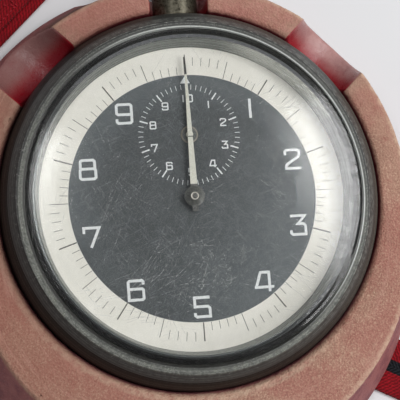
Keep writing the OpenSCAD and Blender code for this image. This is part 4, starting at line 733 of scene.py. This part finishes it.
def loop_strip(bm, angle, wide):
    """A band of ribbon turned round the bow's wire at an angle of its arc."""
    rounds, across = 48, 10
    inner, middle, outer = 2.12, 2.5, 2.88
    a = math.radians(angle)
    out = Vector((math.cos(a), math.sin(a), 0))
    side = Vector((-math.sin(a), math.cos(a), 0))
    centre = Vector((BOW_HALF * math.cos(a), BOW_ARC_Y + BOW_HALF * math.sin(a), BOW_Z))
    uv = bm.loops.layers.uv.verify()
    shares = [-1 + 2 * j / across for j in range(across + 1)]
    rings = []
    for i in range(rounds):
        t = TWO_PI * i / rounds
        radial = out * math.cos(t) + UP * math.sin(t)
        band = [(-s, inner) for s in shares]
        for s in shares:
            band.append((s, outer + (0.06 * math.cos(3 * t + 2 * s) - 0.35 * max(0, abs(s) - 0.85) / 0.15)))
        rings.append([(bm.verts.new(centre + radial * r + side * s * wide / 2), s) for s, r in band])
    for i in range(rounds):
        a0, a1 = rings[i], rings[(i + 1) % rounds]
        v0, v1 = (TWO_PI * middle * k / rounds for k in (i, i + 1))
        for j in range(len(a0)):
            q = (j + 1) % len(a0)
            corners = ((a0[j], v0), (a1[j], v1), (a1[q], v1), (a0[q], v0))
            f = bm.faces.new([vert for (vert, _), _ in corners])
            for loop, ((_, s), v) in zip(f.loops, corners):
                loop[uv].uv = (s * RIBBON_W / 2, v)


bm = bmesh.new()
for angle in (82, 178):
    loop_strip(bm, angle, 6.0)
bmesh.ops.recalc_face_normals(bm, faces=bm.faces[:])
loops = name_uv(new_piece("ribbon_end_loops", bm, ribbon_mat))
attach(loops, "bow")
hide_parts("lanyard_end_loops")


def stitch(bm, a, b, r=0.16):
    """One proud stitch of thread from a to b."""
    parts, sides = 6, 6
    side = (b - a).normalized().cross(UP).normalized()
    rings = []
    for i in range(parts + 1):
        t = i / parts
        rise = math.sin(math.pi * t)
        c = a.lerp(b, t) + Vector((0, 0, r * 1.1 * rise - 0.02))
        k = r * (0.45 + 0.55 * rise)
        turns = [TWO_PI * j / sides for j in range(sides)]
        rings.append([bm.verts.new(c + side * k * math.cos(q) + UP * k * math.sin(q)) for q in turns])
    for p, q in zip(rings, rings[1:]):
        for j in range(sides):
            m = (j + 1) % sides
            bm.faces.new((p[j], p[m], q[m], q[j]))
    bm.faces.new(list(reversed(rings[0])))
    bm.faces.new(rings[-1])


# a sewn box with a cross in it, where the folded end lies on the strand
bm = bmesh.new()
d = Vector((0.7071, 0.7071, 0))
n = Vector((0.7071, -0.7071, 0))
corner = Vector((-35.4, 35.6, SEWN_Z + RIBBON_T * 0.45))
for row in (0.0, 7.0):
    for k in range(-4, 5):
        a = corner + d * row + n * (k * 0.95 - 0.36)
        stitch(bm, a, a + n * 0.72)
for side in (-3.9, 3.9):
    for k in range(7):
        a = corner + n * side + d * (0.35 + k * 0.95)
        stitch(bm, a, a + d * 0.72)
for s in (-1, 1):
    for k in range(8):
        a = corner + d * (0.4 + k * 0.82) + n * (s * (-3.3 + k * 0.9))
        stitch(bm, a, a + d * 0.5 + n * s * 0.55)
stitches = new_piece("ribbon_stitches", bm, thread_mat)
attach(stitches, "case")

# ---- Rubber case: the CAD solid with its edges rounded and nibbled by wear ----
def rounded_copy(node, name, voxel, passes, keep):
    """A node's mesh with its edges rounded: cut into voxels, smoothed, and brought back to fewer faces."""
    me = nodes[node].data.copy()
    bm = bmesh.new()
    bm.from_mesh(me)
    bmesh.ops.remove_doubles(bm, verts=bm.verts[:], dist=1e-6)
    bm.to_mesh(me)
    bm.free()
    ob = bpy.data.objects.new(name, me)
    bpy.context.scene.collection.objects.link(ob)
    mod = ob.modifiers.new("voxels", "REMESH")
    mod.mode = "VOXEL"
    mod.voxel_size = voxel * MM
    mod = ob.modifiers.new("soften", "SMOOTH")
    mod.factor = 0.5
    mod.iterations = passes
    mod = ob.modifiers.new("fewer", "DECIMATE")
    mod.ratio = keep
    deps = bpy.context.evaluated_depsgraph_get()
    done = bpy.data.meshes.new_from_object(ob.evaluated_get(deps), depsgraph=deps)
    ob.modifiers.clear()
    ob.data = done
    bpy.data.meshes.remove(me)
    for p in done.polygons:
        p.use_smooth = True
    return ob


RIM_R, RIM_HOLE = 37.2, 32.6
LIP_R, LIP_Z = 33.5, 9.5


def clamp(value):
    return max(0.0, min(1.0, value))


def foot_spread(c):
    """The foot stands out at the upper left and draws in at the lower right, but not under the bow."""
    out = Vector((c.x, max(c.y, 0.0) + min(c.y + OUTLINE_LINE, 0.0)))
    share = clamp((out.length - 33.5) / 3.5) * clamp((RUBBER_TOP - c.z) / 9.0)
    if c.y > 20 and abs(c.x) < 17:
        share *= max(0.0, (abs(c.x) - 13) / 4)
    if share == 0:
        return Vector((0, 0, 0))
    out.normalize()
    return Vector((out.x, out.y, 0)) * (-0.35 - 1.2 * out.x + out.y) * share


def edge_wear(c):
    """Small dents along the face's outer and inner edges."""
    dy = max(c.y, 0.0) + min(c.y + OUTLINE_LINE, 0.0)
    r, hole = math.hypot(c.x, dy), math.hypot(c.x, c.y)
    near = max(0.0, 1 - abs(r - RIM_R) / 1.2) + max(0.0, 1 - abs(hole - RIM_HOLE) / 0.8)
    if c.z <= RUBBER_TOP - 1.5 or near == 0:
        return Vector((0, 0, 0))
    dent = noise.noise(c * 0.9) * 0.16 + noise.noise(c * 2.3) * 0.08
    # the outer edge wears inwards, and the edge of the hole outwards
    way = -1 if r > 35 else 1
    along = Vector((c.x, dy if way < 0 else c.y, 0)).normalized()
    return along * way * max(0.0, dent) * near - UP * max(0.0, -dent) * near


def lip_drop(c):
    """How far the face dips towards the case."""
    hole = math.hypot(c.x, c.y)
    if c.z <= LIP_Z or hole >= LIP_R:
        return 0.0
    return ((LIP_R - hole) / 1.15) ** 2 * 1.1 * min(1.0, (c.z - LIP_Z) / 2.5)


rubber_body = rounded_copy("rubber_case", "rubber_case_worn", 0.4, 5, 0.35)
for v in rubber_body.data.vertices:
    v.co += foot_spread(v.co / MM) * MM
    worn = edge_wear(v.co / MM)
    drop = lip_drop(v.co / MM)
    v.co += (worn - UP * drop) * MM
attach(rubber_body, "case")
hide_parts("rubber_case")

# ---- Crown spring: a copy of its mesh, carried by the case ----
coil = bpy.data.objects.new("crown_spring_coil", nodes["crown_spring"].data.copy())
bpy.context.scene.collection.objects.link(coil)
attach(coil, "case")
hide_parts("crown_spring")

# ---- Materials on the CAD nodes ----
def paint(ob, material):
    ob.data.materials.clear()
    ob.data.materials.append(material)


rubber = rubber_material()
paint(rubber_body, rubber)
nickel = metal_material("nickel", lin(128, 126, 118), lin(176, 174, 164), 0.9, 0.22, 0.42)
brushed = metal_material(
    "brushed_back", lin(140, 140, 136), lin(186, 186, 180), 0.95, 0.2, 0.4, turned=(0, 0)
)
gilt = metal_material(
    "gilt_plate", lin(178, 160, 118), lin(206, 190, 146), 0.95, 0.25, 0.45, stripe=(0.4, 6.0, 1.0), bump=0.004
)
brass = metal_material("brass", lin(196, 156, 78), lin(226, 190, 112), 0.95, 0.2, 0.4, bump=0.003)
steel = metal_material(
    "steel", lin(132, 134, 138), lin(176, 178, 182), 0.95, 0.16, 0.32, stripe=(7.0, 0.8, 1.0), bump=0.003
)
blued = metal_material("blued_steel", lin(22, 34, 92), lin(42, 62, 140), 0.95, 0.12, 0.25, bump=0.003)
spring = metal_material("spring_steel", lin(96, 100, 110), lin(150, 156, 168), 0.95, 0.2, 0.35, bump=0.003)
paint(coil, spring)
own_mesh(coil)
pendant_metal = metal_material(
    "pendant_metal", lin(66, 62, 50), lin(104, 100, 86), 0.7, 0.25, 0.45, scale=2.0, bump=0.05
)
USES = {
    rubber: ["rubber_case"],
    black_case_material(): ["case_band"],
    bezel_material(): ["bezel"],
    crystal_material(): ["crystal"],
    rehaut_material(): ["tension_ring"],
    dial_material(): ["dial"],
    hand_material(): ["sweep_hand"],
    paint_material("register_hand_paint", lin(200, 199, 186), lin(224, 223, 210)): ["register_hand"],
    pendant_metal: ["pendant"],
    nickel: ["bow", "crown"],
    brushed: ["case_back", "movement_ring"],
    gilt: ["main_plate", "barrel_bridge", "train_bridge", "pallet_bridge", "balance_cock",
           "intermediate_bridge"],
    brass: ["going_barrel", "barrel_cover", "centre_wheel", "third_wheel", "sweep_wheel", "escape_wheel",
            "balance_wheel", "intermediate_wheel", "register_wheel"],
    steel: ["winding_stem", "push_sleeve", "barrel_arbor", "ratchet_wheel", "crown_wheel",
            "winding_pinion", "centre_pinion", "third_pinion", "sweep_arbor", "escape_pinion",
            "pallet_fork", "balance_staff", "sweep_heart", "register_heart", "actuating_slide",
            "column_wheel", "reset_hammer", "brake_lever"],
    blued: ["movement_screws", "case_screws", "crown_wheel_screw", "hairspring"],
    spring: ["mainspring", "crown_spring", "click_spring", "column_jumper"],
    ruby_material(): ["plate_jewels", "bridge_jewels", "pallet_stones"],
}
for material, names in USES.items():
    for name in names:
        paint(nodes[name], material)


# ---- Dial printing ----
PRINT_Z, PRINT_H = DIAL_TOP + 0.004, 0.02


def stroke(bm, path, width, closed=False, thick=PRINT_H):
    """A painted line along a path in plan, with mitred corners, on the dial."""
    pts = [Vector(p) for p in path]
    n = len(pts)
    left, rgt = [], []
    for i, p in enumerate(pts):
        a = pts[(i - 1) % n] if (closed or i > 0) else None
        b = pts[(i + 1) % n] if (closed or i < n - 1) else None
        d1 = (p - a).normalized() if a is not None else (b - p).normalized()
        d2 = (b - p).normalized() if b is not None else d1
        m = (Vector((-d1.y, d1.x)) + Vector((-d2.y, d2.x))).normalized()
        k = width / 2 / max(0.45, m.dot(Vector((-d1.y, d1.x))))
        left.append(p + m * k)
        rgt.append(p - m * k)
    lo = [[bm.verts.new((q.x, q.y, PRINT_Z)) for q in side] for side in (left, rgt)]
    hi = [[bm.verts.new((q.x, q.y, PRINT_Z + thick)) for q in side] for side in (left, rgt)]
    for i in range(n if closed else n - 1):
        j = (i + 1) % n
        bm.faces.new((hi[0][i], hi[1][i], hi[1][j], hi[0][j]))
        bm.faces.new((lo[0][i], hi[0][i], hi[0][j], lo[0][j]))
        bm.faces.new((hi[1][i], lo[1][i], lo[1][j], hi[1][j]))
    if not closed:
        for i in (0, n - 1):
            q = (lo[0][i], lo[1][i], hi[1][i], hi[0][i])
            bm.faces.new(q if i == 0 else tuple(reversed(q)))


# Each numeral is one or two strokes: the points of each, and whether it closes
GLYPHS = {
    "0": [([(-1.1, 1.75), (1.1, 1.75), (1.4, 1.45), (1.4, -1.45), (1.1, -1.75), (-1.1, -1.75),
            (-1.4, -1.45), (-1.4, 1.45)], True)],
    "1": [([(0, 1.85), (0, -1.85)], False)],
    "2": [([(-1.38, 0.8), (-1.38, 1.5), (-1.15, 1.75), (0.95, 1.75), (1.3, 1.42), (1.3, 0.72),
            (1.02, 0.36), (-1.08, -0.92), (-1.3, -1.25), (-1.3, -1.75), (1.5, -1.75)], False)],
    "3": [([(-1.45, 1.75), (1.35, 1.75), (-0.05, 0.22), (0.95, 0.22), (1.35, -0.12), (1.35, -1.75),
            (-1.1, -1.75), (-1.4, -1.48), (-1.4, -0.95)], False)],
    "4": [([(0.95, -1.85), (0.95, 1.72), (-0.62, 1.72), (-1.6, -0.98)], False),
          ([(-1.86, -0.98), (1.8, -0.98)], False)],
    "5": [([(1.45, 1.75), (-1.35, 1.75), (-1.35, 0.12), (1.02, 0.12), (1.38, -0.2), (1.38, -1.75),
            (-1.08, -1.75), (-1.38, -1.48), (-1.38, -0.98)], False)],
    "6": [([(1.36, 1.0), (1.36, 1.5), (1.12, 1.75), (-1.1, 1.75), (-1.36, 1.5), (-1.36, -1.75),
            (1.1, -1.75), (1.36, -1.5), (1.36, -0.7)], False),
          ([(1.36, -0.7), (1.36, 0.0), (1.12, 0.24), (-1.3, 0.24)], False)],
    "7": [([(-1.42, 0.72), (-1.42, 1.75), (1.38, 1.75), (-0.2, -1.85)], False)],
    "8": [([(-1.05, 1.75), (1.05, 1.75), (1.32, 1.48), (1.32, 0.4), (1.2, 0.14), (1.42, -0.16),
            (1.42, -1.48), (1.12, -1.75), (-1.12, -1.75), (-1.42, -1.48), (-1.42, -0.16), (-1.2, 0.14),
            (-1.32, 0.4), (-1.32, 1.48)], True),
          ([(-1.2, 0.14), (1.2, 0.14)], False)],
    "9": [([(-1.38, -0.95), (-1.38, -1.48), (-1.12, -1.75), (1.12, -1.75), (1.38, -1.48), (1.38, 1.5),
            (1.1, 1.75), (-1.1, 1.75), (-1.38, 1.5), (-1.38, 0.8)], False),
          ([(-1.38, 0.8), (-1.38, 0.1), (-1.1, -0.14), (1.3, -0.14)], False)],
}


def glyph(bm, text, x, y, scale, width, step=3.5):
    """Numerals centred on a point; step: from one to the next, at a scale of 1."""
    for i, ch in enumerate(text):
        off = (i - (len(text) - 1) / 2) * step * scale
        # the second stroke is a little thinner, so that no two faces share a plane where they cross
        for k, (path, closed) in enumerate(GLYPHS[ch]):
            points = [(x + off + px * scale, y + py * scale) for px, py in path]
            stroke(bm, points, width, closed, PRINT_H - 0.004 * k)


def ray(bm, centre, angle, r0, r1, width):
    """A mark that points away from a centre, its angle clockwise from the top."""
    a = math.radians(90 - angle)
    out = Vector((math.cos(a), math.sin(a)))
    stroke(bm, [Vector(centre) + out * r for r in (r0, r1)], width)


def tenth_mark(k):
    """The inner radius, outer radius and width of the k-th of a hundred marks."""
    tenth = k % 10
    if tenth in (0, 5):
        return SCALE_R + 0.05, 24.05, 0.2 if tenth == 0 else 0.1
    if tenth > 5:
        return SCALE_R + 0.05, 22.35, 0.08
    return 22.5, 24.0, 0.08


ink = paint_material("scale_ink", lin(66, 64, 60), lin(96, 93, 86))
white = paint_material("numeral_paint", lin(222, 226, 226), lin(238, 240, 240))
bm = bmesh.new()
for k in range(100):
    ray(bm, (0, 0), k * 3.6, *tenth_mark(k))
scale = new_piece("tenths_scale", bm, ink, smooth=False)

NUMERAL_R = 18.3
bm = bmesh.new()
for k in range(1, 10):
    a = math.radians(90 - 36 * k)
    glyph(bm, str(k), NUMERAL_R * math.cos(a), NUMERAL_R * math.sin(a) - 0.15, 0.905, 0.46)
numerals = new_piece("seconds_numerals", bm, white, smooth=False)

# the register's print lies a hair below the middle of its hand
SUB_Y, SUB_NUMERAL_R = REGISTER_Y - 0.01, 6.3
bm = bmesh.new()
for k in range(60):
    ray(bm, (0, SUB_Y), k * 6, *((7.25, 8.65, 0.24) if k % 6 == 0 else (7.8, 8.65, 0.1)))
for k in range(1, 11):
    a = math.radians(90 - 36 * k)
    x, y = SUB_NUMERAL_R * math.cos(a) - 0.06, SUB_Y + SUB_NUMERAL_R * math.sin(a) - 0.06
    glyph(bm, str(k), x, y, 0.335, 0.22, 3.3)
# the arrow head at the top of the register
low = [bm.verts.new((x, y, PRINT_Z)) for x, y in ((-0.96, 19.45), (0.73, 19.45), (0.05, SCALE_R))]
high = [bm.verts.new(v.co + UP * PRINT_H) for v in low]
bm.faces.new(high)
for i in range(3):
    j = (i + 1) % 3
    bm.faces.new((low[i], low[j], high[j], high[i]))
register = new_piece("minutes_register_print", bm, white, smooth=False)
for ob in (scale, numerals, register):
    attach(ob, "case")


# ---- Scratches on the crystal, and painted glints near its upper right edge ----
def on_dome(x, y):
    """The point of the crystal's outside over a place in plan, a hair above it."""
    rise = 1.2 * (1 - (math.hypot(x, y) / DOME_R) ** 2)
    return Vector((x, y, DIAL_TOP + 5.3 + rise + 0.006))


def scuff(k):
    """The middle of a group of strokes and the way that it runs: every third is near 6 o'clock."""
    if k % 3 == 0:
        x, y = random.gauss(-7, 6), random.gauss(-16, 5)
    else:
        r = 26 * math.sqrt(random.random())
        turn = random.uniform(0, TWO_PI)
        x, y = r * math.cos(turn), r * math.sin(turn)
    lead = random.gauss(0.6, 0.5) if random.random() < 0.55 else random.uniform(0, math.pi)
    return x, y, lead


def scratch(bm, x, y, heading):
    """One stroke that starts at a place, bends a little and thins out at both ends."""
    run = random.choice((0.8, 1.4, 2.2, 3.6, 5.0)) * random.uniform(0.7, 1.3)
    bend = random.uniform(-0.04, 0.04)
    width = random.uniform(0.018, 0.045)
    steps = 6
    pts = []
    for i in range(steps + 1):
        pts.append((x, y))
        x += math.cos(heading) * run / steps
        y += math.sin(heading) * run / steps
        heading += bend
    if max(math.hypot(*p) for p in pts) > 26.6:
        return
    rows = []
    for i, p in enumerate(pts):
        a, b = pts[max(0, i - 1)], pts[min(steps, i + 1)]
        t = Vector((b[0] - a[0], b[1] - a[1], 0)).normalized()
        s = Vector((-t.y, t.x, 0)) * width / 2 * (0.3 + 0.7 * math.sin(math.pi * i / steps))
        c = on_dome(*p)
        rows.append((bm.verts.new(c + s), bm.verts.new(c - s)))
    for p, q in zip(rows, rows[1:]):
        bm.faces.new((p[0], p[1], q[1], q[0]))


def chip(bm):
    """A small bright fleck near the crystal's edge at the upper right: a painted highlight, a glint in the
    glare there.
    """
    turn = math.radians(random.gauss(34, 17))
    r = 25.2 + random.gauss(0, 0.32) - 0.02 * abs(math.degrees(turn) - 34)
    size = random.uniform(0.035, 0.13)
    vs = []
    for i in range(5):
        w = TWO_PI * i / 5 + random.uniform(-0.4, 0.4)
        x = r * math.cos(turn) + size * random.uniform(0.5, 1.2) * math.cos(w)
        y = r * math.sin(turn) + size * random.uniform(0.5, 1.2) * math.sin(w)
        vs.append(bm.verts.new(on_dome(x, y)))
    bm.faces.new(vs)


SCUFFS, STROKES, GLINT_FLECKS = 90, 6, 150
random.seed(7)
bm = bmesh.new()
for k in range(SCUFFS):
    x, y, lead = scuff(k)
    for _ in range(STROKES):
        scratch(bm, x + random.gauss(0, 1.4), y + random.gauss(0, 1.4), lead + random.gauss(0, 0.14))
# painted highlights: small bright flecks as glints in the glare at the upper right
for _ in range(GLINT_FLECKS):
    chip(bm)
scratches_and_glints = new_piece("crystal_scratches_and_glints", bm, scratch_material())
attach(scratches_and_glints, "case")

# ---- Turned parts at the middle of the two hands: radius, and height over the dial ----
HUB_PROFILE = [
    (0.0, 1.33), (0.26, 1.33), (0.34, 1.28), (0.36, 1.22), (0.42, 1.22), (0.46, 1.3), (0.62, 1.33),
    (0.7, 1.28), (0.73, 1.1), (0.73, 1.06), (1.66, 1.06), (1.7, 1.02), (1.7, 0.9), (1.6, 0.86), (0.0, 0.86),
]
SEAT_PROFILE = [
    (0.55, 0.13), (0.9, 0.13), (1.0, 0.1), (1.2, 0.1), (1.3, 0.12), (1.42, 0.1), (1.48, 0.04), (1.48, 0.02),
    (0.55, 0.02),
]


def turned_piece(name, profile, y0, material, ring=False, seg=48):
    """A profile turned round an upright axis over the dial; ring: it closes on itself round a hole."""
    bm = bmesh.new()
    turns = [TWO_PI * i / seg for i in range(seg)]
    rings = []
    for r, z in profile:
        spots = [(r * math.cos(a), y0 + r * math.sin(a), DIAL_TOP + z) for a in turns]
        rings.append([bm.verts.new(p) for p in (spots if r > 0 else spots[:1])])
    for p, q in zip(rings, rings[1:] + (rings[:1] if ring else [])):
        for i in range(seg):
            j = (i + 1) % seg
            if len(p) == 1:
                bm.faces.new((p[0], q[i], q[j]))
            elif len(q) == 1:
                bm.faces.new((p[i], q[0], p[j]))
            else:
                bm.faces.new((p[i], q[i], q[j], p[j]))
    bmesh.ops.recalc_face_normals(bm, faces=bm.faces[:])
    return new_piece(name, bm, material)


def hub_material():
    g = Graph("hand_hub")
    r = g.radius()
    t = g.noise(5.0, 4.0, 0.7)
    dark = g.over(lin(66, 69, 68), lin(104, 103, 97), t, 0.4, 0.65)
    ring = g.times(g.step(r, 0.4, 0.44), g.step(r, 0.74, 0.7))
    g.base(g.mix(ring, dark, lin(172, 168, 158)))
    g.metallic(g.times(ring, 0.35))
    g.rough(g.step(t, 0.3, 0.7, 0.3, 0.5))
    g.normal(g.bump(t, 0.02))
    return g.mat


hub = turned_piece("sweep_hub_cap", HUB_PROFILE, 0.0, hub_material())
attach(hub, "sweep")


def seat_material():
    g = Graph("register_seat")
    r = g.radius(0.0, REGISTER_Y)
    t = g.noise(5.0, 4.0, 0.7)
    col = g.over(lin(56, 60, 60), lin(84, 86, 82), t, 0.4, 0.65)
    rim = g.times(g.step(r, 1.16, 1.3), g.step(t, 0.3, 0.5, 0.4, 0.9))
    g.base(g.mix(rim, col, lin(136, 128, 114)))
    g.rough(g.step(t, 0.3, 0.7, 0.35, 0.5))
    g.normal(g.bump(t, 0.02))
    return g.mat


seat = turned_piece("register_hand_seat", SEAT_PROFILE, REGISTER_Y, seat_material(), ring=True)
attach(seat, "register")

# ---- Floor, world and lights ----
FLOOR_HALF = 3000
bm = bmesh.new()
bmesh.ops.create_grid(bm, x_segments=2, y_segments=2, size=FLOOR_HALF)
g = Graph("floor_paper", Specular_IOR_Level=0.2)
t = g.noise(0.02, 3.0)
g.base(g.mix(g.step(t, 0.3, 0.7), (0.80, 0.80, 0.81), (0.82, 0.82, 0.83)))
g.rough(0.9)
floor = new_piece("floor", bm, g.mat)
floor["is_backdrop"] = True

world = bpy.data.worlds.new("World")
bpy.context.scene.world = world
world.use_nodes = True
sky = world.node_tree.nodes["Background"]
sky.inputs["Color"].default_value = (0.92, 0.95, 1.0, 1.0)
sky.inputs["Strength"].default_value = 0.15


def area(name, at, to, size, power):
    """A soft panel light; at and to in metres, power in watts."""
    data = bpy.data.lights.new(name, "AREA")
    data.shape = "RECTANGLE"
    data.size, data.size_y = size
    data.energy = power
    ob = bpy.data.objects.new(name, data)
    ob.location = at
    ob.rotation_euler = (Vector(to) - Vector(at)).to_track_quat("-Z", "Y").to_euler()
    bpy.context.scene.collection.objects.link(ob)


area("RightPanel", (0.43, 0.09, 0.6), (0, 0, 0.01), (0.34, 0.34), 2.8)
area("LeftPanel", (-0.21, 0.085, 0.6), (-0.02, 0, 0.01), (0.25, 0.16), 0.75)
area("Back", (0.1, 0.75, 0.55), (0, 0, 0), (0.6, 0.3), 0.6)
area("Front", (0.52, -0.28, 0.42), (0, 0, 0), (0.3, 0.3), 1.6)

bpy.context.scene.view_settings.view_transform = "Standard"


def plain(value):
    if isinstance(value, (list, tuple, Vector)):
        return [plain(v) for v in value]
    return float(value)


{"cad": plain(cad_box), "visual": plain(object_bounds())}
